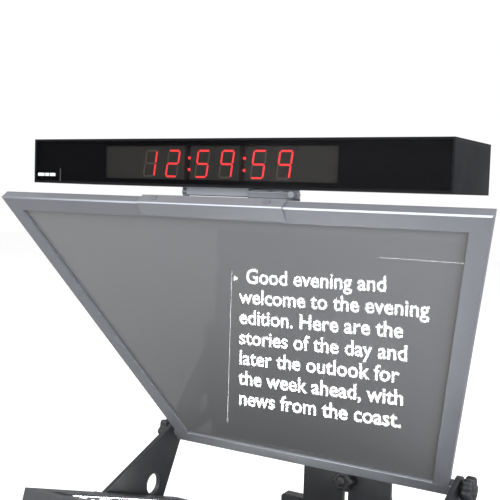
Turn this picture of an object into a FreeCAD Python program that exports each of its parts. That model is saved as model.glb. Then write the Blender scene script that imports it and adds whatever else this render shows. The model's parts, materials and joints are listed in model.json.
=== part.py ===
"""On-camera teleprompter with a talent clock: one STEP file per sub-part, in millimetres.

Row frame: +Z up, the talent stands on the -Y side and the camera on the +Y side, and +X is on the talent's
right. The origin is the mouth of the larger tripod socket, in the underside of the base plate.

From the top down: a clock as high as one equipment unit on a tilting cradle, a hook plate over the top rail
of the glass frame, a tapered frame that holds the beam-splitter glass with a fabric hood behind it, two side
arms on a carriage that runs on a pair of support rods, a monitor that faces up into the glass, and a riser
for the camera.
"""
import FreeCAD
import Part
import math
import os

V = FreeCAD.Vector
X_AXIS, Y_AXIS, Z_AXIS = V(1, 0, 0), V(0, 1, 0), V(0, 0, 1)

# ---- clock, a 1U chassis without its rack ears ---------------------------------------------------
CLOCK_W, CLOCK_H, CLOCK_D = 438.0, 43.7, 98.0
CLOCK_FRONT_Y, CLOCK_BOTTOM_Z = -215.0, 455.0
CASE_WALL = 2.0
WINDOW_X, WINDOW_W, WINDOW_H = -4.4, 248.0, 31.0
FILTER_T, MASK_T = 3.0, 0.8
DIGIT_H, DIGIT_W, DIGIT_SLANT = 25.4, 13.8, 8.0
DIGIT_PITCH, PAIR_PITCH, DIGITS_X, DIGITS_Z = 26.0, 58.9, -3.4, 20.9
COLON_SHIFT, COLON_RISE, COLON_R = 1.8, 5.3, 1.3
SEGMENT_W = 1.65
MODULE_H, MODULE_D = 34.0, 8.0
SHOWN_DIGITS = "125959"

# ---- glass frame: a trapezoid on a plane that leans towards the talent ---------------------------
GLASS_TILT = 54.0
FRAME_TOP_Y, FRAME_TOP_Z = -226.4, 439.0
FRAME_TOP_HALF, FRAME_TAPER, FRAME_LENGTH = 254.0, 0.254, 356.0
RAIL_W, RAIL_T, RAIL_LIP, RAIL_WALL = 16.0, 10.0, 3.0, 6.0
GASKET_T, GLASS_T, STRIP_T = 0.5, 3.0, 2.0
ARRIS = 1.2
SCREW_R, HEAD_R, HEAD_H = 1.6, 2.8, 1.2
HOOK_HALF, HOOK_LIP, SHEET_T = 76.5, 13.5, 1.6

# ---- monitor: placed so that its picture stands upright behind the glass -------------------------
PICTURE_W, PICTURE_H = 304.0, 228.0
PICTURE_PLANE_Y, PICTURE_TOP_Z = 58.0, 383.4
MONITOR_HALF_W, MONITOR_HALF_L, MONITOR_T = 170.0, 134.0, 34.0
BEZEL_STEP = 2.0

# ---- hood ----------------------------------------------------------------------------------------
HOOD_T, HOOD_GAP = 2.5, 0.3
HOOD_BACK_Y, HOOD_BACK_TOP_Z, HOOD_BACK_BOTTOM_Z = 85.0, 344.0, 194.0
HOOD_BACK_TOP_HALF = 95.0
LENS_R, COLLAR_R, COLLAR_LENGTH = 66.0, 50.0, 42.0

# ---- base, rods, carriage and riser --------------------------------------------------------------
ROD_R, ROD_X, ROD_Z = 9.5, 52.0, 24.0
ROD_FRONT_Y, ROD_BACK_Y = -266.0, 196.0
RUNNING = 0.05
BASE_HALF_W, BASE_FRONT_Y, BASE_BACK_Y, BASE_T = 90.0, -50.0, 90.0, 8.0
BLOCK_TOP_Z = 38.0
FOOT_DROP, FOOT_R = 3.0, 8.0
CARRIAGE_FRONT_Y, CARRIAGE_BACK_Y, CARRIAGE_T = -130.0, -60.0, 6.0
ARM_X, ARM_T = 173.0, 5.0
BOLT_R = 4.0
RISER_Y, RISER_LENGTH, RISER_T = 100.0, 40.0, 6.0
PLATFORM_TOP_Z, PLATFORM_BACK_Y, PLATFORM_HALF = 170.0, 205.0, 50.0
TRIPOD_R, TRIPOD_SMALL_R, TRIPOD_SMALL_Y = 4.0, 2.55, 35.0


# ---- small helpers -------------------------------------------------------------------------------
def box(x, y, z):
    """Block from three (low, high) pairs."""
    return Part.makeBox(x[1] - x[0], y[1] - y[0], z[1] - z[0], V(x[0], y[0], z[0]))


def rod(p, axis, r, length):
    """Cylinder of radius r from point p along axis."""
    return Part.makeCylinder(r, length, V(*p), axis)


def tube(p, axis, r_out, r_in, length):
    return rod(p, axis, r_out, length).cut(rod(p, axis, r_in, length))


def cone(p, axis, r0, r1, length):
    return Part.makeCone(r0, r1, length, V(*p), axis)


def prism(points, along):
    """Solid swept from the flat polygon through points by the vector along."""
    wire = Part.makePolygon([V(*p) for p in points] + [V(*points[0])])
    return Part.Face(wire).extrude(along)


def join(shapes):
    """One clean solid out of touching or overlapping solids."""
    fused = shapes[0].fuse(shapes[1:]) if len(shapes) > 1 else shapes[0]
    return fused.removeSplitter()


def group(shapes):
    return Part.makeCompound(shapes)


def mirrored(shape):
    """The same shape on the other side of the X = 0 plane."""
    return shape.mirror(V(0, 0, 0), X_AXIS)


def both_sides(shape):
    return [mirrored(shape), shape]


def six_faces(quad_a, quad_b):
    """Solid between two flat quads whose corners correspond."""
    faces = [quad_a, quad_b]
    faces += [[quad_a[i], quad_a[(i + 1) % 4], quad_b[(i + 1) % 4], quad_b[i]] for i in range(4)]
    shell = Part.makeShell([Part.Face(Part.makePolygon(q + [q[0]])) for q in faces])
    solid = Part.makeSolid(shell)
    if solid.Volume < 0:
        solid.reverse()
    return solid


def meet(planes):
    """Point where three planes (point, normal) meet."""
    rows = [(n.x, n.y, n.z, n.dot(p)) for p, n in planes]
    det = V(*rows[0][:3]).dot(V(*rows[1][:3]).cross(V(*rows[2][:3])))
    a, b, c = (V(*r[:3]) for r in rows)
    return (b.cross(c) * rows[0][3] + c.cross(a) * rows[1][3] + a.cross(b) * rows[2][3]) * (1 / det)


def chamfer_edges(shape, size, wanted):
    """Chamfers the straight edges for which wanted(middle, direction) is true."""
    found = []
    for edge in shape.Edges:
        if isinstance(edge.Curve, Part.Line):
            a, b = edge.Vertexes[0].Point, edge.Vertexes[-1].Point
            if wanted((a + b) * 0.5, (b - a).normalize()):
                found.append(edge)
    return shape.makeChamfer(size, found)


def edge_through(point):
    """Test for the edges along X that pass through a point's Y and Z."""
    def wanted(middle, direction):
        return abs(direction.x) > 0.99 and abs(middle.y - point.y) < 0.1 and abs(middle.z - point.z) < 0.1
    return wanted


def fillet_along(shape, size, axis):
    """Rounds every edge that runs along axis."""
    edges = []
    for edge in shape.Edges:
        if isinstance(edge.Curve, Part.Line):
            a, b = edge.Vertexes[0].Point, edge.Vertexes[-1].Point
            if abs((b - a).normalize().dot(axis)) > 0.999:
                edges.append(edge)
    return shape.makeFillet(size, edges)


# ---- the glass plane: t runs down the slope, d runs square to it, away from the talent -----------
TILT = math.radians(GLASS_TILT)
DOWN = V(0, math.cos(TILT), -math.sin(TILT))
BACK = V(0, math.sin(TILT), math.cos(TILT))
FRAME_TOP = V(0, FRAME_TOP_Y, FRAME_TOP_Z)
SIDE_COS = math.cos(math.atan(FRAME_TAPER))


def on_glass(x, t, d):
    return FRAME_TOP + X_AXIS * x + DOWN * t + BACK * d


def half_width(t, inset=0.0):
    """Half the frame's width at t, less an inset measured square to the side."""
    return FRAME_TOP_HALF - FRAME_TAPER * t - inset / SIDE_COS


def glass_prism(outline, d0, d1):
    """Solid over an outline of (x, t) points, from depth d0 to d1."""
    points = [on_glass(x, t, d0) for x, t in outline]
    return prism([(p.x, p.y, p.z) for p in points], BACK * (d1 - d0))


def oblong(half, top, bottom):
    """Rectangle on the glass plane, across the middle."""
    return [(-half, top), (half, top), (half, bottom), (-half, bottom)]


def trapezoid(inset):
    top, bottom = inset, FRAME_LENGTH - inset
    a, b = half_width(top, inset), half_width(bottom, inset)
    return [(-a, top), (a, top), (b, bottom), (-b, bottom)]


def ring(inset_out, inset_in, d0, d1):
    return glass_prism(trapezoid(inset_out), d0, d1).cut(glass_prism(trapezoid(inset_in), d0, d1))


def side_outline(inset_out, inset_in):
    """The right-hand rail's share of a ring, mitred at the top, ending square on the hinge bar."""
    t_top_out, t_top_in = inset_out, inset_in
    t_bottom = FRAME_LENGTH - RAIL_W
    return [
        (half_width(t_top_out, inset_out), t_top_out),
        (half_width(t_bottom, inset_out), t_bottom),
        (half_width(t_bottom, inset_in), t_bottom),
        (half_width(t_top_in, inset_in), t_top_in),
    ]


HINGE_T, HINGE_D = FRAME_LENGTH - RAIL_W / 2, RAIL_T / 2
HINGE = on_glass(0, HINGE_T, HINGE_D)

# ---- the monitor's plane: the mirror image of an upright picture ---------------------------------
MIRROR_D = RAIL_LIP + GASKET_T


def mirror_image(p):
    """Reflects a point of the YZ plane in the front face of the glass."""
    a = on_glass(0, 0, MIRROR_D)
    along = DOWN * (p - a).dot(DOWN)
    return a + along * 2 - (p - a)


PICTURE_FRONT = mirror_image(V(0, PICTURE_PLANE_Y, PICTURE_TOP_Z))
PICTURE_REAR = mirror_image(V(0, PICTURE_PLANE_Y, PICTURE_TOP_Z - PICTURE_H))
MONITOR_TILT = 2 * GLASS_TILT - 90.0
MONITOR_UP = V(0, math.sin(math.radians(MONITOR_TILT)), math.cos(math.radians(MONITOR_TILT)))
LCD_HEIGHT = MONITOR_T / 2 - BEZEL_STEP
MONITOR_PIVOT = (PICTURE_FRONT + PICTURE_REAR) * 0.5 - MONITOR_UP * LCD_HEIGHT


# ---- clock ---------------------------------------------------------------------------------------
def clock_at(shape):
    """Moves a shape from the clock's own corner datum (front, bottom, middle) to its place."""
    moved = shape.copy()
    moved.translate(V(0, CLOCK_FRONT_Y, CLOCK_BOTTOM_Z))
    return moved


HALF = CLOCK_W / 2
INNER_HALF = HALF - CASE_WALL
TOP_Z = CLOCK_H - CASE_WALL
FILTER_BACK = 0.4 + FILTER_T
MASK_BACK = FILTER_BACK + MASK_T
SEGMENT_Y = MASK_BACK + 0.7
SEGMENT_T = 0.3
MODULE_Y = SEGMENT_Y + SEGMENT_T
BOARD_Y, BOARD_T = MODULE_Y + MODULE_D, 1.6
MIDDLE_Z = CLOCK_H / 2
REAR_PANEL_T = 1.5
REAR_Y = CLOCK_D - REAR_PANEL_T
MAIN_BOARD_Z, MAIN_BOARD_T = 9.0, 1.6
CRADLE_HOLES = [(x, y) for x in (-40.0, 40.0) for y in (34.0, 62.0)]
BUTTON_R, BUTTON_X, BUTTON_Z = 3.5, (92.0, 112.0), 22.0
BUTTON_OUT, BUTTON_IN = 3.0, 6.0


def clock_chassis():
    floor = box((-HALF, HALF), (0, CLOCK_D), (0, CASE_WALL))
    wall = box((INNER_HALF, HALF), (0, CLOCK_D), (CASE_WALL, TOP_Z))
    lips = [box((-INNER_HALF, INNER_HALF), (MASK_BACK, MASK_BACK + 0.8), (CASE_WALL, CASE_WALL + 2.5))]
    shape = join([floor, *both_sides(wall), *lips])
    for x, y in CRADLE_HOLES:
        shape = shape.cut(rod((x, y, 0), Z_AXIS, SCREW_R, CASE_WALL))
    return clock_at(shape)


def clock_top_cover():
    lid = box((-HALF, HALF), (0, CLOCK_D), (TOP_Z, CLOCK_H))
    flange = box((INNER_HALF - 1.4, INNER_HALF - 0.2), (8, CLOCK_D - 8), (TOP_Z - 9, TOP_Z))
    return clock_at(join([lid, *both_sides(flange)]))


def clock_front_panel():
    return clock_at(box((-INNER_HALF, INNER_HALF), (0.4, FILTER_BACK), (CASE_WALL, TOP_Z)))


def window_x(margin=0.0):
    """Left and right edges of the display window, with a margin outside it."""
    return (WINDOW_X - WINDOW_W / 2 - margin, WINDOW_X + WINDOW_W / 2 + margin)


def clock_window_mask():
    sheet = box((-INNER_HALF, INNER_HALF), (FILTER_BACK, MASK_BACK), (CASE_WALL, TOP_Z))
    window_z = (MIDDLE_Z - WINDOW_H / 2, MIDDLE_Z + WINDOW_H / 2)
    return clock_at(sheet.cut(box(window_x(), (FILTER_BACK, MASK_BACK), window_z)))


def digit_centres():
    centres = []
    for pair in (-1, 0, 1):
        for side in (-0.5, 0.5):
            centres.append(DIGITS_X + pair * PAIR_PITCH + side * DIGIT_PITCH)
    return centres


def digit_modules():
    """Six figure modules, and a blank one at each end that fills the rest of the window."""
    half = DIGIT_PITCH / 2 - 0.1
    spans = [(c - half, c + half) for c in digit_centres()]
    left, right = window_x(3.0)
    spans += [(left, spans[0][0] - 0.2), (spans[-1][1] + 0.2, right)]
    z = (DIGITS_Z - MODULE_H / 2, DIGITS_Z + MODULE_H / 2)
    return clock_at(group([box(x, (MODULE_Y, BOARD_Y), z) for x in spans]))


SEGMENTS = {"1": "bc", "2": "abged", "5": "afgcd", "9": "abcfg"}


def segment_outlines():
    """Corner points (x, z) of the seven bars of one digit, centred on (0, 0), before the slant."""
    w, h, s, g = DIGIT_W / 2 - SEGMENT_W / 2, DIGIT_H / 2 - SEGMENT_W / 2, SEGMENT_W / 2, 0.45

    def flat(z):
        left, right = g - w, w - g
        upper = [(left, z), (left + s, z + s), (right - s, z + s)]
        return upper + [(right, z), (right - s, z - s), (left + s, z - s)]

    def upright(x, low, high):
        low, high = low + g, high - g
        right_side = [(x, low), (x + s, low + s), (x + s, high - s)]
        return right_side + [(x, high), (x - s, high - s), (x - s, low + s)]

    return {
        "a": flat(h), "g": flat(0), "d": flat(-h),
        "b": upright(w, 0, h), "c": upright(w, -h, 0),
        "f": upright(-w, 0, h), "e": upright(-w, -h, 0),
    }


def segment(centre_x, name):
    lean = math.tan(math.radians(DIGIT_SLANT))
    outline = [(centre_x + x + z * lean, SEGMENT_Y, DIGITS_Z + z) for x, z in segment_outlines()[name]]
    return prism(outline, Y_AXIS * SEGMENT_T)


def digit_segments():
    lit = []
    for centre, figure in zip(digit_centres(), SHOWN_DIGITS):
        lit += [segment(centre, name) for name in SEGMENTS[figure]]
    return clock_at(group(lit))


def colon_leds():
    dots = []
    for side in (-0.5, 0.5):
        x = DIGITS_X + side * PAIR_PITCH + COLON_SHIFT
        for rise in (-COLON_RISE, COLON_RISE):
            dots.append(rod((x, SEGMENT_Y, DIGITS_Z + rise), Y_AXIS, COLON_R, BOARD_Y - SEGMENT_Y))
    return clock_at(group(dots))


def display_board():
    return clock_at(box(window_x(4.0), (BOARD_Y, BOARD_Y + BOARD_T), (4.6, 39.0)))


def main_board():
    plate = box((-150, 150), (24, 88), (MAIN_BOARD_Z, MAIN_BOARD_Z + MAIN_BOARD_T))
    top = MAIN_BOARD_Z + MAIN_BOARD_T
    chips = [
        box((-120, -80), (40, 70), (top, top + 20)),
        box((-40, -22), (44, 62), (top, top + 3)),
        box((0, 12), (50, 58), (top, top + 2.5)),
        rod((40, 50, top), Z_AXIS, 6, 16),
        rod((58, 50, top), Z_AXIS, 5, 12),
    ]
    return clock_at(join([plate, *chips]))


def clock_standoffs():
    height, leg_y = MAIN_BOARD_Z - CASE_WALL, BOARD_Y + BOARD_T
    posts = [rod((x, y, CASE_WALL), Z_AXIS, 3, height) for x in (-142, 142) for y in (30, 82)]
    legs = [box((x - 4, x + 4), (leg_y, leg_y + 5), (CASE_WALL, 36)) for x in (-118, 118)]
    return clock_at(group(posts + legs))


def connector_list():
    """Sockets in the clock's rear panel: (name, x, radius or half sizes)."""
    return [("coax", -150, 5.5), ("coax", -125, 5.5), ("network", -60, (8, 6.5)), ("power", 150, 5.0)]


def clock_rear_panel():
    sheet = box((-INNER_HALF, INNER_HALF), (REAR_Y, CLOCK_D), (CASE_WALL, TOP_Z))
    for kind, x, size in connector_list():
        if kind == "network":
            z = (BUTTON_Z - size[1], BUTTON_Z + size[1])
            hole = box((x - size[0], x + size[0]), (REAR_Y, CLOCK_D), z)
        else:
            hole = rod((x, REAR_Y, BUTTON_Z), Y_AXIS, size, REAR_PANEL_T)
        sheet = sheet.cut(hole)
    for x in BUTTON_X:
        sheet = sheet.cut(rod((x, REAR_Y, BUTTON_Z), Y_AXIS, BUTTON_R + 0.3, REAR_PANEL_T))
    for i in range(9):
        x = -20 + i * 10
        sheet = sheet.cut(box((x, x + 3), (REAR_Y, CLOCK_D), (12, 32)))
    return clock_at(sheet)


def clock_connectors():
    made = []
    for kind, x, size in connector_list():
        if kind == "coax":
            body = tube((x, REAR_Y - 12, BUTTON_Z), Y_AXIS, 5.5, 3.6, 22)
            back = rod((x, REAR_Y - 12, BUTTON_Z), Y_AXIS, 3.6, 12)
            pin = rod((x, REAR_Y, BUTTON_Z), Y_AXIS, 0.9, 8)
            made.append(join([body, back, pin]))
        elif kind == "network":
            z = (BUTTON_Z - size[1], BUTTON_Z + size[1])
            body = box((x - size[0], x + size[0]), (REAR_Y - 14, CLOCK_D + 0.6), z)
            mouth = box((x - 5.8, x + 5.8), (REAR_Y - 8, CLOCK_D + 0.6), (BUTTON_Z - 3.5, BUTTON_Z + 3.5))
            made.append(body.cut(mouth))
        else:
            body = tube((x, REAR_Y - 10, BUTTON_Z), Y_AXIS, size, 2.9, 12)
            back = rod((x, REAR_Y - 10, BUTTON_Z), Y_AXIS, 2.9, 2)
            pin = rod((x, REAR_Y - 8, BUTTON_Z), Y_AXIS, 1.0, 9)
            made.append(join([body, back, pin]))
    return clock_at(group(made))


def clock_button(x):
    cap = rod((x, REAR_Y - BUTTON_IN, BUTTON_Z), Y_AXIS, BUTTON_R, BUTTON_IN + REAR_PANEL_T + BUTTON_OUT)
    collar = rod((x, REAR_Y - BUTTON_IN, BUTTON_Z), Y_AXIS, BUTTON_R + 1.2, 3.0)
    return clock_at(join([cap, collar]))


# ---- tilting cradle between the clock and the glass frame ----------------------------------------
TILT_Y, TILT_DROP = 14.0, 4.6
KNUCKLE_R, SHAFT_R, NECK_HALF = 3.4, 1.75, 2.2
UPPER_KNUCKLE, UPPER_FACE_LOW = (-37.0, 30.0), 2.6
LOWER_KNUCKLE = (-42.0, -37.4)
LOCK_BLOCK_X, LOCK_BLOCK_REAR_X, LOCK_X = (32.0, 84.0), 76.0, 78.0
LOCK_BLOCK_Y, LOCK_BLOCK_Z = (TILT_Y - 8.0, TILT_Y + 6.0), (-8.5, -2.0)
SHAFT_X = (-41.0, 79.5)
LOCK_HEAD_Y, LOCK_HEAD_R, LOCK_SCREW_R = (0.4, 5.3), 3.0, 2.0
HOOK_LEG_Z = (-10.1, -8.5)
LEG_BACK_Y = 21.0
LEAF_HALF = 49.0
HOOK_SCREWS_X, HOOK_SCREW_DEPTH = (-60.0, 60.0), 5.0


def knuckle(x, tongue):
    """One barrel of the hinge with the tongue that joins it to its leaf."""
    barrel = rod((x[0], TILT_Y, -TILT_DROP), X_AXIS, KNUCKLE_R, x[1] - x[0])
    return join([barrel, tongue])


def bored(shape, r):
    return shape.cut(rod((-60, TILT_Y, -TILT_DROP), X_AXIS, r, 160))


def cradle_plate():
    """Upper leaf of the tilt hinge, with one long flat-fronted barrel between the hook plate's barrel and
    its lock block."""
    leaf = box((-LEAF_HALF, LEAF_HALF), (TILT_Y + 7, 72), (-SHEET_T, 0))
    x = UPPER_KNUCKLE
    strap = box(x, (TILT_Y, TILT_Y + 8), (-SHEET_T, 0))
    neck = box(x, (TILT_Y - KNUCKLE_R, TILT_Y + NECK_HALF), (-TILT_DROP - UPPER_FACE_LOW, 0))
    shape = bored(join([leaf, knuckle(x, strap.fuse(neck))]), SHAFT_R)
    for x, y in CRADLE_HOLES:
        shape = shape.cut(rod((x, y, -SHEET_T), Z_AXIS, SCREW_R, SHEET_T))
    return clock_at(shape)


def tilt_shaft():
    shaft = rod((SHAFT_X[0], TILT_Y, -TILT_DROP), X_AXIS, SHAFT_R, SHAFT_X[1] - SHAFT_X[0])
    return clock_at(shaft)


def clock_screws():
    """Four screws that hold the cradle to the clock, and four in the rear panel's corners."""
    made = []
    for x, y in CRADLE_HOLES:
        shank = rod((x, y, -SHEET_T), Z_AXIS, SCREW_R, 5.0)
        head = rod((x, y, -SHEET_T - HEAD_H), Z_AXIS, HEAD_R, HEAD_H)
        made.append(join([head, shank]))
    for x in (-208, 208):
        for z in (8, 35):
            made.append(rod((x, CLOCK_D, z), Y_AXIS, HEAD_R, HEAD_H))
    return clock_at(group(made))


def hook_plate():
    """Sheet hooked over the top rail; its back leg carries the hinge's lower leaf and the lock block."""
    lip = glass_prism(oblong(HOOK_HALF, -SHEET_T, HOOK_LIP), -SHEET_T, 0)
    cap = glass_prism(oblong(HOOK_HALF, -SHEET_T, 0), -SHEET_T, RAIL_T)
    leg_front = on_glass(0, 0, RAIL_T).y - CLOCK_FRONT_Y
    leg = clock_at(box((-HOOK_HALF, HOOK_HALF), (leg_front - 0.9, LEG_BACK_Y), HOOK_LEG_Z))
    rail = glass_prism(trapezoid(0), 0, RAIL_T)
    foot = box(LOWER_KNUCKLE, (TILT_Y - NECK_HALF, TILT_Y + NECK_HALF), (HOOK_LEG_Z[0], -TILT_DROP))
    leaf = clock_at(knuckle(LOWER_KNUCKLE, foot))
    (left, right), (front, back), (low, high) = LOCK_BLOCK_X, LOCK_BLOCK_Y, LOCK_BLOCK_Z
    outline = [(left, front, low), (right, front, low), (LOCK_BLOCK_REAR_X, back, low), (left, back, low)]
    block = clock_at(fillet_along(prism(outline, Z_AXIS * (high - low)), 1.2, X_AXIS))
    bore = clock_at(rod((-60, TILT_Y, -TILT_DROP), X_AXIS, SHAFT_R + RUNNING, 160))
    lock_hole = clock_at(rod((LOCK_X, 0, -TILT_DROP), Y_AXIS, LOCK_SCREW_R + RUNNING, TILT_Y))
    sheet = join([lip, cap, leg, leaf, block]).cut(rail).cut(bore).cut(lock_hole)
    for x in HOOK_SCREWS_X:
        sheet = sheet.cut(Part.makeCylinder(SCREW_R, SHEET_T, on_glass(x, -SHEET_T, RAIL_T / 2), DOWN))
    return chamfer_edges(sheet, ARRIS * 0.7, edge_through(on_glass(0, -SHEET_T, -SHEET_T)))


def tilt_lock_screw():
    front, back = LOCK_HEAD_Y
    head = rod((LOCK_X, front, -TILT_DROP), Y_AXIS, LOCK_HEAD_R, back - front)
    for i in range(12):
        a = math.radians(i * 30)
        ring_r = LOCK_HEAD_R + 0.3
        start = (LOCK_X + ring_r * math.cos(a), front, -TILT_DROP + ring_r * math.sin(a))
        head = head.cut(rod(start, Y_AXIS, 0.6, back - front))
    reach = TILT_Y - SHAFT_R - RUNNING - back
    return clock_at(join([head, rod((LOCK_X, back, -TILT_DROP), Y_AXIS, LOCK_SCREW_R, reach)]))


# ---- glass frame ---------------------------------------------------------------------------------
def frame_top_rail():
    outlines = []
    for width in (RAIL_W, RAIL_WALL):
        outer, inner = half_width(0), half_width(width, width)
        outlines.append([(-outer, 0), (outer, 0), (inner, width), (-inner, width)])
    rail = join([glass_prism(outlines[0], 0, RAIL_LIP), glass_prism(outlines[1], RAIL_LIP, RAIL_T)])
    rail = chamfer_edges(rail, ARRIS, edge_through(on_glass(0, 0, 0)))
    for x in HOOK_SCREWS_X:
        rail = rail.cut(Part.makeCylinder(SCREW_R, HOOK_SCREW_DEPTH, on_glass(x, 0, RAIL_T / 2), DOWN))
    return rail


def frame_side_rails():
    lip = glass_prism(side_outline(0, RAIL_W), 0, RAIL_LIP)
    wall = glass_prism(side_outline(0, RAIL_WALL), RAIL_LIP, RAIL_T)
    return group(both_sides(join([lip, wall])))


BAR_HALF = 171.0


def frame_hinge_bar():
    """Bottom rail, wider than the frame, with a threaded socket in each end for the hinge bolts."""
    top = FRAME_LENGTH - RAIL_W
    bar = glass_prism(oblong(BAR_HALF, top, FRAME_LENGTH), 0, RAIL_T)
    notch = oblong(half_width(top, RAIL_WALL), top, FRAME_LENGTH - RAIL_WALL)
    bar = fillet_along(bar, 1.0, X_AXIS).cut(glass_prism(notch, RAIL_LIP, RAIL_T))
    for side in (-1, 1):
        socket = rod((side * (BAR_HALF - 10), HINGE.y, HINGE.z), X_AXIS * side, BOLT_R + RUNNING, 10)
        washer = tube((side * BAR_HALF, HINGE.y, HINGE.z), X_AXIS * side, 5.0, BOLT_R + RUNNING, 1.7)
        bar = bar.cut(socket).fuse(washer)
    return bar.removeSplitter()


GLASS_INSET = RAIL_WALL + 0.5
GLASS_D = (MIRROR_D, MIRROR_D + GLASS_T)


def beam_splitter_glass():
    return glass_prism(trapezoid(GLASS_INSET), *GLASS_D)


def glass_gasket():
    return ring(GLASS_INSET, RAIL_W - 1.5, RAIL_LIP, MIRROR_D)


STRIP_INSET = (GLASS_INSET, GLASS_INSET + 8)


def glass_retainer_strips():
    """Four strips behind the glass, each on its own side of the frame."""
    d = (GLASS_D[1], GLASS_D[1] + STRIP_T)
    low, high = STRIP_INSET[1] + 1, FRAME_LENGTH - STRIP_INSET[1] - 1
    side = [
        (half_width(low, STRIP_INSET[0]), low), (half_width(high, STRIP_INSET[0]), high),
        (half_width(high, STRIP_INSET[1]), high), (half_width(low, STRIP_INSET[1]), low),
    ]
    strips = both_sides(glass_prism(side, *d))
    inner_inset, outer_inset = STRIP_INSET[1], STRIP_INSET[0]
    for t in ((outer_inset, inner_inset), (FRAME_LENGTH - inner_inset, FRAME_LENGTH - outer_inset)):
        outer, inner = half_width(t[0], STRIP_INSET[0]), half_width(t[1], STRIP_INSET[0])
        strips.append(glass_prism([(-outer, t[0]), (outer, t[0]), (inner, t[1]), (-inner, t[1])], *d))
    return group(strips)


def frame_screws():
    """Pan heads on the retainer strips, and two screws that hold the hook plate to the top rail."""
    d = GLASS_D[1] + STRIP_T
    middle = sum(STRIP_INSET) / 2
    spots = [(x, middle) for x in (-180, -60, 60, 180)]
    spots += [(x, FRAME_LENGTH - middle) for x in (-110, 0, 110)]
    for t in (60, 150, 240, 300):
        x = half_width(t, middle)
        spots += [(-x, t), (x, t)]
    made = []
    for x, t in spots:
        p = on_glass(x, t, d)
        made.append(Part.makeCylinder(HEAD_R, HEAD_H, p, BACK))
    for x in HOOK_SCREWS_X:
        head = Part.makeCylinder(HEAD_R, HEAD_H, on_glass(x, -SHEET_T - HEAD_H, RAIL_T / 2), DOWN)
        length, top = SHEET_T + HOOK_SCREW_DEPTH - 0.2, on_glass(x, -SHEET_T, RAIL_T / 2)
        made.append(join([head, Part.makeCylinder(SCREW_R, length, top, DOWN)]))
    return group(made)


# ---- hood: four mitred panels, a back panel and an elastic collar --------------------------------
def hood_corners():
    """Outer corners on the right-hand side, front top, front bottom, back top, back bottom."""
    d = RAIL_T + HOOD_GAP
    t_top, t_bottom = 3.0, FRAME_LENGTH - 3.0
    front_top = on_glass(half_width(t_top, 2.0), t_top, d)
    front_bottom = on_glass(half_width(t_bottom, 2.0), t_bottom, d)
    back_top = V(HOOD_BACK_TOP_HALF, HOOD_BACK_Y, HOOD_BACK_TOP_Z)
    normal = (front_bottom - front_top).cross(back_top - front_top)
    reach = normal.dot(front_top) - normal.y * HOOD_BACK_Y - normal.z * HOOD_BACK_BOTTOM_Z
    back_bottom = V(reach / normal.x, HOOD_BACK_Y, HOOD_BACK_BOTTOM_Z)
    return front_top, front_bottom, back_top, back_bottom


def flip(p):
    return V(-p.x, p.y, p.z)


def hood_planes(inset):
    """Six planes as (point, outward normal); all but front and back move inwards by the inset."""
    ft, fb, bt, bb = hood_corners()
    centre = V(0, (ft.y + bt.y) / 2, (ft.z + bb.z) / 2)
    sides = {"top": (ft, flip(ft), bt), "bottom": (fb, flip(fb), bb), "right": (ft, fb, bt)}
    sides["left"] = tuple(flip(p) for p in sides["right"])
    planes = {"front": (ft, BACK), "back": (bt, Y_AXIS)}
    for name, (a, b, c) in sides.items():
        n = (b - a).cross(c - a).normalize()
        if n.dot(centre - a) > 0:
            n = n * -1
        planes[name] = (a - n * inset, n)
    return planes


def hood_quad(side, inset):
    """Corners of one side panel's face at an inset from the outside."""
    planes = hood_planes(inset)
    rims = ("left", "right") if side in ("top", "bottom") else ("top", "bottom")
    order = [("front", rims[0]), ("front", rims[1]), ("back", rims[1]), ("back", rims[0])]
    return [meet([planes[side], planes[a], planes[b]]) for a, b in order]


def hood_panel(side):
    return six_faces(hood_quad(side, 0), hood_quad(side, HOOD_T))


LENS_Z = (HOOD_BACK_TOP_Z + HOOD_BACK_BOTTOM_Z) / 2


def hood_back_panel():
    planes = hood_planes(0)
    corners = [meet([planes["back"], planes[a], planes[b]]) for a, b in
               (("top", "left"), ("top", "right"), ("bottom", "right"), ("bottom", "left"))]
    sheet = prism([(p.x, p.y, p.z) for p in corners], Y_AXIS * HOOD_T)
    return sheet.cut(rod((0, HOOD_BACK_Y, LENS_Z), Y_AXIS, LENS_R - HOOD_T, HOOD_T))


def lens_collar():
    start = (0, HOOD_BACK_Y + HOOD_T, LENS_Z)
    outer = cone(start, Y_AXIS, LENS_R + HOOD_T, COLLAR_R + HOOD_T, COLLAR_LENGTH)
    return outer.cut(cone(start, Y_AXIS, LENS_R, COLLAR_R, COLLAR_LENGTH))


# ---- monitor -------------------------------------------------------------------------------------
def monitor_at(shape):
    """Moves a shape from the monitor's own frame, flat with its pivot at zero, to its tilted place."""
    moved = shape.copy()
    moved.rotate(V(0, 0, 0), X_AXIS, -MONITOR_TILT)
    moved.translate(MONITOR_PIVOT)
    return moved


MW, ML, MT = MONITOR_HALF_W, MONITOR_HALF_L, MONITOR_T / 2
SHELL_T, BEZEL_T = 2.5, 2.5
SEAM_Z = MT - 9.0
PICTURE_X, PICTURE_Y = (-PICTURE_W / 2, PICTURE_W / 2), (-PICTURE_H / 2, PICTURE_H / 2)
KEY_Y, KEY_X, KEY_R = -ML + 6.5, (96.0, 118.0), 2.5
PORTS = [(-90.0, 15.0, 5.0), (-50.0, 8.0, 3.2), (-20.0, 8.0, 3.2), (40.0, 5.5, 4.5)]
PORT_Z = -6.0


def shell(x, y, z, wall):
    """Open-ended block: its side walls only."""
    outer = fillet_along(box((-x, x), (-y, y), z), 6.0, Z_AXIS)
    inner = fillet_along(box((-x + wall, x - wall), (-y + wall, y - wall), z), 3.5, Z_AXIS)
    return outer.cut(inner)


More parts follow.
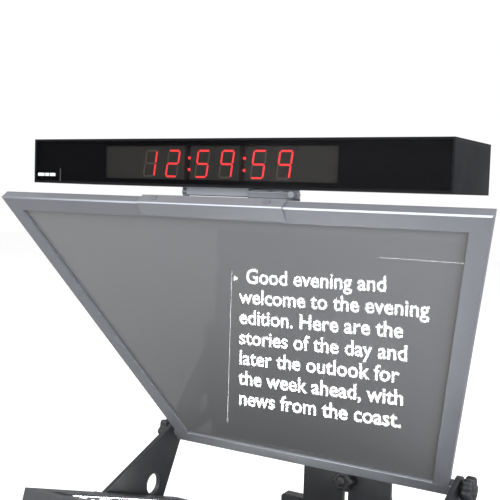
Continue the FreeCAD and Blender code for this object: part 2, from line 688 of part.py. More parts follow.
def monitor_bezel():
    face = fillet_along(box((-MW, MW), (-ML, ML), (MT - BEZEL_T, MT)), 6.0, Z_AXIS)
    rim = shell(MW, ML, (SEAM_Z, MT - BEZEL_T), SHELL_T)
    shape = join([face, rim])
    shape = shape.cut(box(PICTURE_X, PICTURE_Y, (MT - BEZEL_T, MT)))
    for x in KEY_X:
        shape = shape.cut(rod((x, KEY_Y, MT - BEZEL_T), Z_AXIS, KEY_R + 0.3, BEZEL_T))
    return monitor_at(shape)


def lcd_panel():
    return monitor_at(box((-160, 160), (-121, 121), (MT - BEZEL_T - 7, MT - BEZEL_T)))


def monitor_rear_cover():
    floor = fillet_along(box((-MW, MW), (-ML, ML), (-MT, -MT + SHELL_T)), 6.0, Z_AXIS)
    rim = shell(MW, ML, (-MT + SHELL_T, SEAM_Z), SHELL_T)
    boss = box((MW - 18, MW - SHELL_T), (-11, 11), (-MT + SHELL_T, SEAM_Z - 2))
    shape = join([floor, rim, *both_sides(boss)])
    for side in (-1, 1):
        shape = shape.cut(rod((side * (MW - 10), 0, 0), X_AXIS * side, BOLT_R + RUNNING, 10))
        shape = shape.fuse(tube((side * MW, 0, 0), X_AXIS * side, 9.0, BOLT_R + RUNNING, 2.7))
    for x, half_x, half_z in PORTS:
        z = (PORT_Z - half_z, PORT_Z + half_z)
        shape = shape.cut(box((x - half_x, x + half_x), (ML - SHELL_T, ML), z))
    for i in range(12):
        x = -99 + i * 18
        shape = shape.cut(box((x - 2, x + 2), (-90, -50), (-MT, -MT + SHELL_T)))
    return monitor_at(shape.removeSplitter())


def monitor_board():
    plate = box((-130, 130), (60, 118), (-MT + 5.0, -MT + 6.6))
    chips = [box((-60, -36), (76, 100), (-MT + 6.6, -MT + 9.0)), rod((60, 88, -MT + 6.6), Z_AXIS, 6, 9)]
    posts = [rod((x, y, -MT + SHELL_T), Z_AXIS, 3, 5.0 - SHELL_T) for x in (-120, 120) for y in (66, 112)]
    return monitor_at(join([plate, *chips, *posts]))


def monitor_connectors():
    made = []
    for x, half_x, half_z in PORTS:
        z = (PORT_Z - half_z, PORT_Z + half_z)
        body = box((x - half_x, x + half_x), (118.5, ML + 0.8), z)
        mouth_half, tongue_half = half_x - 1.2, half_x - 3.0
        mouth = box((x - mouth_half, x + mouth_half), (ML - 6, ML + 0.8), (z[0] + 1.2, z[1] - 1.2))
        tongue_z = (PORT_Z - half_z / 3, PORT_Z + half_z / 3)
        tongue = box((x - tongue_half, x + tongue_half), (ML - 6, ML), tongue_z)
        made.append(join([body.cut(mouth), tongue]))
    return monitor_at(group(made))


def monitor_key(x):
    low = MT - BEZEL_T - 5.0
    cap = rod((x, KEY_Y, low), Z_AXIS, KEY_R, MT + 1.2 - low)
    return monitor_at(join([cap, rod((x, KEY_Y, low), Z_AXIS, KEY_R + 1.0, 2.0)]))


# ---- carriage, arms and their knobs --------------------------------------------------------------
def link(a, b, ra, rb):
    """Plate profile in the YZ plane: two discs joined by their outer tangents, as a face at X = 0."""
    ca, cb = V(0, *a), V(0, *b)
    run = cb - ca
    length = run.Length
    turn = math.acos((ra - rb) / length)
    base = math.atan2(run.z, run.y)
    corners = []
    for centre, r, sign in ((ca, ra, 1), (cb, rb, 1), (cb, rb, -1), (ca, ra, -1)):
        angle = base + sign * turn
        corners.append(centre + V(0, math.cos(angle), math.sin(angle)) * r)
    web = Part.Face(Part.makePolygon(corners + [corners[0]])).extrude(X_AXIS * ARM_T)
    discs = [Part.makeCylinder(r, ARM_T, c, X_AXIS) for c, r in ((ca, ra), (cb, rb))]
    return web.fuse(discs)


ARM_FOOT_Z = BLOCK_TOP_Z + CARRIAGE_T
LIGHTENING_HOLES = [(-95.0, 82.0, 17.0), (-62.0, 108.0, 12.0)]


def side_arm():
    """The arm on the right: it carries the frame's hinge and the monitor's pivot."""
    hinge, pivot = (HINGE.y, HINGE.z), (MONITOR_PIVOT.y, MONITOR_PIVOT.z)
    front, back = (CARRIAGE_FRONT_Y + 10, ARM_FOOT_Z + 10), (CARRIAGE_BACK_Y - 10, ARM_FOOT_Z + 10)
    parts = [link(hinge, pivot, 13, 13), link(front, back, 10, 10)]
    parts += [link(pivot, front, 13, 10), link(hinge, back, 13, 10)]
    foot = box((0, ARM_T), (CARRIAGE_FRONT_Y, CARRIAGE_BACK_Y), (ARM_FOOT_Z, ARM_FOOT_Z + 10))
    web = prism([(0, *p) for p in (hinge, pivot, front, back)], X_AXIS * ARM_T)
    arm = join([*parts, foot, web])
    arm.translate(X_AXIS * ARM_X)
    for y, z in (hinge, pivot):
        arm = arm.cut(rod((ARM_X, y, z), X_AXIS, BOLT_R + RUNNING, ARM_T))
    for y, z, r in LIGHTENING_HOLES:
        arm = arm.cut(rod((ARM_X, y, z), X_AXIS, r, ARM_T))
    return arm


def carriage_plate():
    reach = ARM_X + ARM_T
    plate = box((-reach, reach), (CARRIAGE_FRONT_Y, CARRIAGE_BACK_Y), (BLOCK_TOP_Z, ARM_FOOT_Z))
    y = (CARRIAGE_FRONT_Y + 6, CARRIAGE_BACK_Y - 6)
    angle_leg = box((ARM_X - ANGLE_T, ARM_X), y, (ARM_FOOT_Z, ARM_FOOT_Z + 14))
    angle_foot = box((ARM_X - 16, ARM_X - ANGLE_T), y, (ARM_FOOT_Z, ARM_FOOT_Z + ANGLE_T))
    return join([plate, *both_sides(join([angle_leg, angle_foot]))])


def rod_block(y, z_low, clearance, half=15.0):
    """Block that holds or runs on the right-hand rod."""
    block = fillet_along(box((ROD_X - half, ROD_X + half), y, (z_low, BLOCK_TOP_Z)), 2.0, Y_AXIS)
    return block.cut(rod((ROD_X, y[0], ROD_Z), Y_AXIS, ROD_R + clearance, y[1] - y[0]))


ANGLE_T = 3.0
CLAMP_Y = (CARRIAGE_FRONT_Y + CARRIAGE_BACK_Y) / 2
CLAMP_TIP_X, BLOCK_HALF, CLAMP_SCREW_R = ROD_X + ROD_R + 1.0, 17.0, 3.0


def clamp_hole(y):
    """Hole for a clamp screw, from the right-hand rod out through the block's side."""
    return rod((ROD_X + ROD_R, y, ROD_Z), X_AXIS, CLAMP_SCREW_R + RUNNING, BLOCK_HALF - ROD_R)


def carriage_rod_blocks():
    y = (CARRIAGE_FRONT_Y, CARRIAGE_BACK_Y)
    right = rod_block(y, 11.5, RUNNING, BLOCK_HALF)
    left = mirrored(right)
    return group([left, right.cut(clamp_hole(CLAMP_Y))])


def star_knob(p, axis, r, thick, shank_r, shank, lobes=6):
    """Knob with finger scallops at p, its shank running on along axis from the knob's inner face."""
    start = V(*p)
    body = Part.makeCylinder(r, thick, start - axis * thick, axis)
    side = axis.cross(Z_AXIS) if abs(axis.z) < 0.9 else axis.cross(X_AXIS)
    up = axis.cross(side)
    for i in range(lobes):
        a = 2 * math.pi * i / lobes
        at = start - axis * thick + (side * math.cos(a) + up * math.sin(a)) * (r * 1.12)
        body = body.cut(Part.makeCylinder(r * 0.28, thick, at, axis))
    hub = Part.makeCylinder(r * 0.5, 2.0, start - axis * (thick + 2.0), axis)
    return join([body, hub, Part.makeCylinder(shank_r, shank, start, axis)])


KNOB_GAP = 1.0


def arm_knob(y, z, side):
    """Knob outside one arm; its bolt runs through the arm into what pivots there."""
    face = ARM_X + ARM_T + KNOB_GAP
    inner = BAR_HALF - 9.0
    return star_knob((side * face, y, z), X_AXIS * -side, 15.0, 13.0, BOLT_R, face - inner)


def hinge_knob(side):
    return arm_knob(HINGE.y, HINGE.z, side)


def monitor_knob(side):
    return arm_knob(MONITOR_PIVOT.y, MONITOR_PIVOT.z, side)


def rod_clamp_knob(y):
    face = ROD_X + BLOCK_HALF + KNOB_GAP
    return star_knob((face, y, ROD_Z), X_AXIS * -1, 11.0, 12.0, CLAMP_SCREW_R, face - CLAMP_TIP_X)


# ---- base ----------------------------------------------------------------------------------------
SADDLES_Y = [(BASE_FRONT_Y, BASE_FRONT_Y + 30), (BASE_BACK_Y - 30, BASE_BACK_Y)]
CROSSBARS_Y = [(ROD_FRONT_Y + 4, ROD_FRONT_Y + 20), (ROD_BACK_Y - 20, ROD_BACK_Y - 4)]
CROSSBAR_HALF, CROSSBAR_Z = 130.0, (10.0, 38.0)
FOOT_X = 116.0


def base_plate():
    plate = box((-BASE_HALF_W, BASE_HALF_W), (BASE_FRONT_Y, BASE_BACK_Y), (0, BASE_T))
    plate = fillet_along(plate, 8.0, Z_AXIS)
    plate = plate.cut(rod((0, 0, 0), Z_AXIS, TRIPOD_R, BASE_T))
    return plate.cut(rod((0, TRIPOD_SMALL_Y, 0), Z_AXIS, TRIPOD_SMALL_R, BASE_T))


def rod_saddles():
    return group([s for y in SADDLES_Y for s in both_sides(rod_block(y, BASE_T, 0.0))])


def support_rods():
    rail = rod((ROD_X, ROD_FRONT_Y, ROD_Z), Y_AXIS, ROD_R, ROD_BACK_Y - ROD_FRONT_Y)
    bore = rod((ROD_X, ROD_FRONT_Y, ROD_Z), Y_AXIS, ROD_R - 2.0, ROD_BACK_Y - ROD_FRONT_Y)
    return group(both_sides(rail.cut(bore)))


def crossbar(y):
    bar = fillet_along(box((-CROSSBAR_HALF, CROSSBAR_HALF), y, CROSSBAR_Z), 4.0, Y_AXIS)
    for side in (-1, 1):
        bar = bar.cut(rod((side * ROD_X, y[0], ROD_Z), Y_AXIS, ROD_R, y[1] - y[0]))
    return bar


def rubber_feet():
    feet = []
    for y in CROSSBARS_Y:
        for x in (-FOOT_X, FOOT_X):
            sole = (x, sum(y) / 2, -FOOT_DROP)
            feet.append(cone(sole, Z_AXIS, FOOT_R - 0.5, FOOT_R, CROSSBAR_Z[0] + FOOT_DROP))
    return group(feet)


def base_screws():
    """Cap heads on top of the saddles and set-screw heads on the crossbars."""
    made = []
    for y in SADDLES_Y:
        for x in (-ROD_X - 12.2, -ROD_X + 12.2, ROD_X - 12.2, ROD_X + 12.2):
            head = rod((x, sum(y) / 2, BLOCK_TOP_Z), Z_AXIS, 2.7, 3.0)
            made.append(head.cut(rod((x, sum(y) / 2, BLOCK_TOP_Z + 1.2), Z_AXIS, 1.3, 1.8)))
    for y in CROSSBARS_Y:
        for x in (-ROD_X, ROD_X):
            made.append(rod((x, sum(y) / 2, CROSSBAR_Z[1]), Z_AXIS, 3.0, 1.5))
    return group(made)


# ---- camera riser --------------------------------------------------------------------------------
RISER_SLOT_Z, SLOT_R = (72.0, 138.0), 3.3
RISER_TOP_Z, RISER_HALF = 150.0, 58.0
PLATFORM_T, SHIM = 6.0, 0.3
UNDER_Z = PLATFORM_TOP_Z - PLATFORM_T
PLATFORM_SCREW_Z = 105.0
CAMERA_SLOT_Y = (128.0, 188.0)
CAMERA_SCREW_Y = 158.0


def slot(p0, p1, axis, depth):
    """Cutter for a round-ended slot of radius SLOT_R between two points, depth deep along axis."""
    a, b = V(*p0), V(*p1)
    across = axis.cross(b - a).normalize() * SLOT_R
    middle = Part.Face(Part.makePolygon([a + across, b + across, b - across, a - across, a + across]))
    ends = [Part.makeCylinder(SLOT_R, depth, p, axis) for p in (a, b)]
    return middle.extrude(axis * depth).fuse(ends)


def camera_riser():
    y = (RISER_Y, RISER_Y + RISER_LENGTH)
    right = rod_block(y, 11.5, RUNNING, BLOCK_HALF)
    bridge = box((-ROD_X + BLOCK_HALF, ROD_X - BLOCK_HALF), y, (28, BLOCK_TOP_Z))
    plate = box((-RISER_HALF, RISER_HALF), (RISER_Y, RISER_Y + RISER_T), (BLOCK_TOP_Z, RISER_TOP_Z))
    ends = [(0, RISER_Y, z) for z in RISER_SLOT_Z]
    plate = plate.cut(slot(*ends, Y_AXIS, RISER_T))
    plate = fillet_along(plate, 5.0, Y_AXIS)
    back, low, high = RISER_Y + RISER_T, BLOCK_TOP_Z, 96.0
    gusset = prism([(52, back, low), (52, back, high), (52, y[1] - 2, low)], X_AXIS * 5)
    foot = box((-RISER_HALF, RISER_HALF), (RISER_Y, RISER_Y + RISER_T), (BLOCK_TOP_Z, BLOCK_TOP_Z + 10))
    shape = join([*both_sides(right), bridge, plate, foot, *both_sides(gusset)])
    return shape.cut(clamp_hole(sum(y) / 2))


def camera_platform():
    """L-shaped shelf behind the riser plate, with a slot for the camera screw."""
    y0 = RISER_Y + RISER_T + RUNNING
    top = box((-PLATFORM_HALF, PLATFORM_HALF), (y0, PLATFORM_BACK_Y), (UNDER_Z, PLATFORM_TOP_Z))
    top = fillet_along(top, 5.0, Z_AXIS)
    leg = box((-46, 46), (y0, y0 + PLATFORM_T), (PLATFORM_SCREW_Z - 10, PLATFORM_TOP_Z - 1))
    corner = box((-PLATFORM_HALF, PLATFORM_HALF), (y0, y0 + PLATFORM_T), (UNDER_Z, PLATFORM_TOP_Z))
    shape = join([top, leg, corner])
    ends = [(0, y, UNDER_Z) for y in CAMERA_SLOT_Y]
    shape = shape.cut(slot(*ends, Z_AXIS, PLATFORM_T))
    return shape.cut(rod((0, y0, PLATFORM_SCREW_Z), Y_AXIS, 3.0 + RUNNING, PLATFORM_T))


def platform_knob():
    """Knob in front of the riser; its screw runs through the riser's slot into the platform's leg."""
    reach = KNOB_GAP + RISER_T + PLATFORM_T
    return star_knob((0, RISER_Y - KNOB_GAP, PLATFORM_SCREW_Z), Y_AXIS, 15.0, 12.0, 3.0, reach)


WASHER_T, WASHER_R = 2.0, 8.0
KNURL_R, KNURL_H = 11.0, 10.0
THREAD_R, THREAD_H, CAMERA_SHANK_R = 3.175, 8.0, 2.8


def camera_screw_washer():
    """Guide washer that slides along under the platform's slot with the camera screw in it."""
    top = UNDER_Z - SHIM
    return tube((0, CAMERA_SCREW_Y, top - WASHER_T), Z_AXIS, WASHER_R, CAMERA_SHANK_R + RUNNING, WASHER_T)


def camera_screw():
    """Captive screw: a knurled head under the platform and a thread that stands out of its top."""
    low = UNDER_Z - SHIM - WASHER_T - SHIM
    head = rod((0, CAMERA_SCREW_Y, low - KNURL_H), Z_AXIS, KNURL_R, KNURL_H)
    for i in range(16):
        a = math.radians(i * 22.5)
        groove = (11.4 * math.cos(a), CAMERA_SCREW_Y + 11.4 * math.sin(a), low - KNURL_H)
        head = head.cut(rod(groove, Z_AXIS, 1.1, KNURL_H))
    top = PLATFORM_TOP_Z + SHIM
    shank = rod((0, CAMERA_SCREW_Y, low), Z_AXIS, CAMERA_SHANK_R, top - low)
    return join([head, shank, rod((0, CAMERA_SCREW_Y, top), Z_AXIS, THREAD_R, THREAD_H)])


NODES = {
    "clock_chassis": clock_chassis,
    "clock_top_cover": clock_top_cover,
    "clock_front_panel": clock_front_panel,
    "clock_window_mask": clock_window_mask,
    "clock_rear_panel": clock_rear_panel,
    "clock_connectors": clock_connectors,
    "clock_main_board": main_board,
    "clock_display_board": display_board,
    "clock_standoffs": clock_standoffs,
    "clock_screws": clock_screws,
    "digit_modules": digit_modules,
    "digit_segments": digit_segments,
    "colon_leds": colon_leds,
    "clock_set_button": lambda: clock_button(BUTTON_X[0]),
    "clock_mode_button": lambda: clock_button(BUTTON_X[1]),
    "clock_cradle_plate": cradle_plate,
    "clock_tilt_shaft": tilt_shaft,
    "hook_plate": hook_plate,
    "tilt_lock_screw": tilt_lock_screw,
    "frame_top_rail": frame_top_rail,
    "frame_side_rails": frame_side_rails,
    "frame_hinge_bar": frame_hinge_bar,
    "beam_splitter_glass": beam_splitter_glass,
    "glass_gasket": glass_gasket,
    "glass_retainer_strips": glass_retainer_strips,
    "frame_screws": frame_screws,
    "hood_top_panel": lambda: hood_panel("top"),
    "hood_bottom_panel": lambda: hood_panel("bottom"),
    "hood_side_panels": lambda: group([hood_panel("left"), hood_panel("right")]),
    "hood_back_panel": hood_back_panel,
    "lens_collar": lens_collar,
    "monitor_bezel": monitor_bezel,
    "monitor_rear_cover": monitor_rear_cover,
    "lcd_panel": lcd_panel,
    "monitor_board": monitor_board,
    "monitor_connectors": monitor_connectors,
    "monitor_power_key": lambda: monitor_key(KEY_X[1]),
    "monitor_menu_key": lambda: monitor_key(KEY_X[0]),
    "side_arm_left": lambda: mirrored(side_arm()),
    "side_arm_right": side_arm,
    "carriage_plate": carriage_plate,
    "carriage_rod_blocks": carriage_rod_blocks,
    "carriage_clamp_knob": lambda: rod_clamp_knob(CLAMP_Y),
    "hinge_knob_left": lambda: hinge_knob(-1),
    "hinge_knob_right": lambda: hinge_knob(1),
    "monitor_knob_left": lambda: monitor_knob(-1),
    "monitor_knob_right": lambda: monitor_knob(1),
    "base_plate": base_plate,
    "rod_saddles": rod_saddles,
    "support_rods": support_rods,
    "front_crossbar": lambda: crossbar(CROSSBARS_Y[0]),
    "rear_crossbar": lambda: crossbar(CROSSBARS_Y[1]),
    "rubber_feet": rubber_feet,
    "base_screws": base_screws,
    "camera_riser": camera_riser,
    "riser_clamp_knob": lambda: rod_clamp_knob(RISER_Y + RISER_LENGTH / 2),
    "camera_platform": camera_platform,
    "platform_knob": platform_knob,
    "camera_screw_washer": camera_screw_washer,
    "camera_screw": camera_screw,
}


def main():
    os.makedirs("parts", exist_ok=True)
    for name, make in NODES.items():
        shape = make()
        for solid in shape.Solids:
            if not solid.isValid() or solid.Volume <= 0:
                print("CHECK", name, "has a bad solid", solid.Volume)
        shape.exportStep(f"parts/{name}.step")
    print(len(NODES), "nodes; hinge", HINGE, "monitor pivot", MONITOR_PIVOT)


main()
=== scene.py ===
"""Looks for the on-camera teleprompter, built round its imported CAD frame. Metres, in the row frame.

+Z is up, the talent stands on the -Y side and the camera on the +Y side.
"""
import json
import math

import bmesh
import bpy
from mathutils import Matrix, Vector, noise


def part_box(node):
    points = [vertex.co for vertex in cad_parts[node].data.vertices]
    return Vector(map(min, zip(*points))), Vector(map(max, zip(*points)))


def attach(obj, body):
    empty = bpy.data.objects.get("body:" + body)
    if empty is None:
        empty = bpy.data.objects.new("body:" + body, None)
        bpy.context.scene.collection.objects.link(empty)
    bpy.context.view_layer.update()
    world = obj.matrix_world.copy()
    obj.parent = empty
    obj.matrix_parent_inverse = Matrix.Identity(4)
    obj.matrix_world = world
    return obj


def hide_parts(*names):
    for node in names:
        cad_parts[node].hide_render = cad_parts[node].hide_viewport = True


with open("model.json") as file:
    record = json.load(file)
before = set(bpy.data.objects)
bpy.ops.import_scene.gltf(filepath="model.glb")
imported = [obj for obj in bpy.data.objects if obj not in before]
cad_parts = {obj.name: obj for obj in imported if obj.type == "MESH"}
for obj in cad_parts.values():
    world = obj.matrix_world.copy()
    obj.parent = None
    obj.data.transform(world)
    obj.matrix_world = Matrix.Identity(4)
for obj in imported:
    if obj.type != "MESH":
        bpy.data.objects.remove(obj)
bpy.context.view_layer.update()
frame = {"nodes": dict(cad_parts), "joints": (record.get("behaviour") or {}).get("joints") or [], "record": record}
nodes = frame["nodes"]
joints = {j["name"]: j for j in frame["joints"]}

X, Y, Z = Vector((1, 0, 0)), Vector((0, 1, 0)), Vector((0, 0, 1))
MM = 0.001

# ---- the frame's leading places ------------------------------------------------------------------
GLASS_TILT = math.radians(54)
MIRROR_DEPTH = 3.5 * MM
HINGE_SLOPE, HINGE_DEPTH = 348 * MM, 5 * MM
DOWN = Vector((0, math.cos(GLASS_TILT), -math.sin(GLASS_TILT)))
BACK = Vector((0, math.sin(GLASS_TILT), math.cos(GLASS_TILT)))
HINGE = Vector(joints["head_fold"]["pos_m"])
FRAME_TOP = HINGE - DOWN * HINGE_SLOPE - BACK * HINGE_DEPTH
MIRROR_POINT = FRAME_TOP + BACK * MIRROR_DEPTH
CLOCK_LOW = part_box("clock_chassis")[0]
CLOCK_FRONT = Vector((0, CLOCK_LOW.y, CLOCK_LOW.z))


def mirrored(p):
    """Where the glass's coated face shows a point of the picture plane, and the other way round."""
    return p - BACK * (2 * (p - MIRROR_POINT).dot(BACK))


def far(node, x, y, z):
    """The corner of a CAD node that lies furthest along a direction."""
    way = Vector((x, y, z))
    return max((v.co.copy() for v in nodes[node].data.vertices), key=way.dot)


# ---- materials -----------------------------------------------------------------------------------
FACING_COSINES = 0.992, 0.997
WORN_COSINES = 0.80, 0.97
# Where along the object's X axis the painted highlight on the top chamfer fades, and from what strength to what.
HIGHLIGHT_FADE_X, HIGHLIGHT_FADE = (-0.24, 0.06), (0.05, 1.0)
# The scale at which a Wave texture repeats once per unit.
WAVE_UNIT = 0.314


class Graph:
    """A Principled material with the few nodes that most finishes share."""

    def __init__(self, name, metallic=0.0, **sockets):
        self.mat = bpy.data.materials.new(name)
        self.mat.use_nodes = True
        self.tree = self.mat.node_tree
        self.bsdf = self.tree.nodes["Principled BSDF"]
        self.bsdf.inputs["Metallic"].default_value = metallic
        for key, value in sockets.items():
            self.bsdf.inputs[key.replace("_", " ")].default_value = value
        self.coords = self.tree.nodes.new("ShaderNodeTexCoord")

    def node(self, kind, **settings):
        made = self.tree.nodes.new("ShaderNode" + kind)
        for key, value in settings.items():
            setattr(made, key, value)
        return made

    def link(self, source, target):
        self.tree.links.new(source, target)

    def noise(self, scale, detail=2.0, stretch=None, space="Object"):
        made = self.node("TexNoise")
        made.inputs["Scale"].default_value = scale
        made.inputs["Detail"].default_value = detail
        where = self.coords.outputs[space]
        if stretch:
            mapping = self.node("Mapping")
            mapping.inputs["Scale"].default_value = stretch
            self.link(where, mapping.inputs["Vector"])
            where = mapping.outputs["Vector"]
        self.link(where, made.inputs["Vector"])
        return made.outputs["Fac"]

    def span(self, source, low, high, to_low, to_high):
        made = self.node("MapRange")
        ends = {"From Min": low, "From Max": high, "To Min": to_low, "To Max": to_high}
        for name, value in ends.items():
            made.inputs[name].default_value = value
        self.link(source, made.inputs["Value"])
        return made.outputs["Result"]

    def math(self, operation, a, b):
        made = self.node("Math", operation=operation)
        for socket, value in zip(made.inputs, (a, b)):
            if isinstance(value, float):
                socket.default_value = value
            else:
                self.link(value, socket)
        return made.outputs[0]

    def blend(self, factor, a, b):
        made = self.node("Mix", data_type="RGBA")
        self.link(factor, made.inputs["Factor"])
        for socket, value in ((made.inputs["A"], a), (made.inputs["B"], b)):
            if isinstance(value, tuple):
                socket.default_value = (*value, 1)
            else:
                self.link(value, socket)
        return made.outputs["Result"]

    def bump(self, height, distance, strength=1.0, under=None):
        made = self.node("Bump")
        made.inputs["Distance"].default_value = distance
        made.inputs["Strength"].default_value = strength
        self.link(height, made.inputs["Height"])
        if under:
            self.link(under, made.inputs["Normal"])
        return made.outputs["Normal"]

    def rounded(self, radius):
        made = self.node("Bevel", samples=6)
        made.inputs["Radius"].default_value = radius
        return made.outputs["Normal"]

    def edges(self, rounded, low, high):
        """1 on the rounded edges, 0 on flat faces."""
        dot = self.node("VectorMath", operation="DOT_PRODUCT")
        self.link(rounded, dot.inputs[0])
        self.link(self.node("NewGeometry").outputs["Normal"], dot.inputs[1])
        return self.span(dot.outputs["Value"], high, low, 0.0, 1.0)

    def facing(self, way):
        """1 where the surface faces a direction, in the object's own axes, and 0 elsewhere."""
        dot = self.node("VectorMath", operation="DOT_PRODUCT")
        self.link(self.coords.outputs["Normal"], dot.inputs[0])
        dot.inputs[1].default_value = way
        return self.span(dot.outputs["Value"], *FACING_COSINES, 0.0, 1.0)

    def along_x(self, places, values):
        """A value that changes from one place along the object's X axis to another."""
        parts = self.node("SeparateXYZ")
        self.link(self.coords.outputs["Object"], parts.inputs["Vector"])
        return self.span(parts.outputs["X"], *places, *values)


def tinted(colour, factor):
    return tuple(c * factor for c in colour)


def finish(name, colour, rough, metallic=0.0, grain=900.0, depth=0.00004, blotch=14.0,
           spread=0.12, edge=0.0006, worn=None, wear=0.5, stretch=None, bright_cut=None,
           **sockets):
    """Solid finish: blotches of tone, a fine grain, softened edges, and wear along them.

    bright_cut is the direction that a chamfer faces, in the object's own axes; that chamfer
    gets a painted highlight in its colour, which fades towards the object's left.
    """
    g = Graph(name, metallic, **sockets)
    tone = g.noise(blotch, 3.0)
    base = g.blend(tone, tinted(colour, 1 - spread), tinted(colour, 1 + spread))
    soft = g.rounded(edge)
    fine = g.noise(grain, 2.0, stretch)
    if worn:
        rub = g.span(g.noise(60.0, 4.0), 0.42, 0.62, 0.0, wear)
        mask = g.math("MULTIPLY", g.edges(soft, *WORN_COSINES), rub)
        base = g.blend(mask, base, worn)
    # A painted highlight: the chamfer that faces this direction gets a pale colour, stronger towards the object's
    # right.
    if bright_cut:
        highlight_fade = g.along_x(HIGHLIGHT_FADE_X, HIGHLIGHT_FADE)
        base = g.blend(g.math("MULTIPLY", g.facing(bright_cut), highlight_fade), base, PAINTED_HIGHLIGHT)
    g.link(base, g.bsdf.inputs["Base Color"])
    g.link(g.span(g.noise(blotch * 5, 3.0), 0.3, 0.7, rough * 0.85, min(1.0, rough * 1.18)),
           g.bsdf.inputs["Roughness"])
    g.link(g.bump(fine, depth, 1.0, soft), g.bsdf.inputs["Normal"])
    return g.mat


def glow(name, colour, strength, ripple=0.05):
    """A lit surface: its colour wanders a little from place to place, as a diffuser's does."""
    g = Graph(name, Roughness=0.35)
    tone = g.noise(120.0, 2.0)
    lit = g.blend(tone, tinted(colour, 1 - ripple), tinted(colour, 1 + ripple))
    g.link(lit, g.bsdf.inputs["Emission Color"])
    g.link(lit, g.bsdf.inputs["Base Color"])
    g.bsdf.inputs["Emission Strength"].default_value = strength
    return g.mat


def splitter_glass():
    """Partly mirrored glass: a clear reflection, and a grey film in front of what is behind it whose diffuse grey
    is a painted reflection.
    """
    g = Graph("splitter_glass", Roughness=0.015, IOR=1.33, Alpha=0.90)
    haze = g.noise(5.0, 3.0)
    # The film's grey is painted reflection: a diffuse colour in place of the light that the partly mirrored
    # coating reflects.
    g.link(g.blend(haze, (0.230, 0.231, 0.232), (0.238, 0.239, 0.240)), g.bsdf.inputs["Base Color"])
    return g.mat


def smoked_filter():
    """Smoked acrylic over the display."""
    g = Graph("panel_filter", Roughness=0.12, IOR=1.22, Alpha=0.2)
    tone = g.noise(9.0, 3.0)
    g.link(g.blend(tone, (0.004, 0.004, 0.006), (0.008, 0.008, 0.010)), g.bsdf.inputs["Base Color"])
    g.link(g.bump(g.noise(500.0), 0.00001), g.bsdf.inputs["Normal"])
    return g.mat


def woven(name, colour, thread, sheen=0.35, depth=0.00012):
    """Coated nylon: warp and weft across the piece's own UVs, which are in metres."""
    g = Graph(name, Roughness=0.78, Sheen_Weight=sheen, Sheen_Roughness=0.4)
    turns = 0.5 / thread
    height = None
    for direction in ("X", "Y"):
        wave = g.node("TexWave", bands_direction=direction, wave_profile="SIN")
        wave.inputs["Scale"].default_value = turns * WAVE_UNIT
        wave.inputs["Distortion"].default_value = 0.35
        wave.inputs["Detail Scale"].default_value = 0.3
        g.link(g.coords.outputs["UV"], wave.inputs["Vector"])
        band = wave.outputs["Fac"]
        height = band if height is None else g.math("MAXIMUM", height, band)
    tone = g.noise(11.0, 4.0)
    lint = g.span(g.noise(900.0, 2.0), 0.66, 0.75, 0.0, 0.35)
    base = g.blend(tone, tinted(colour, 0.75), tinted(colour, 1.3))
    # The raised threads are painted lighter than the hollows between them: a painted highlight on the weave.
    base = g.blend(g.span(height, 0.0, 1.0, 0.0, 0.6), base, tinted(colour, 1.8))
    base = g.blend(lint, base, tinted(colour, 3.0))
    g.link(base, g.bsdf.inputs["Base Color"])
    g.link(g.bump(height, depth, 0.9), g.bsdf.inputs["Normal"])
    return g.mat


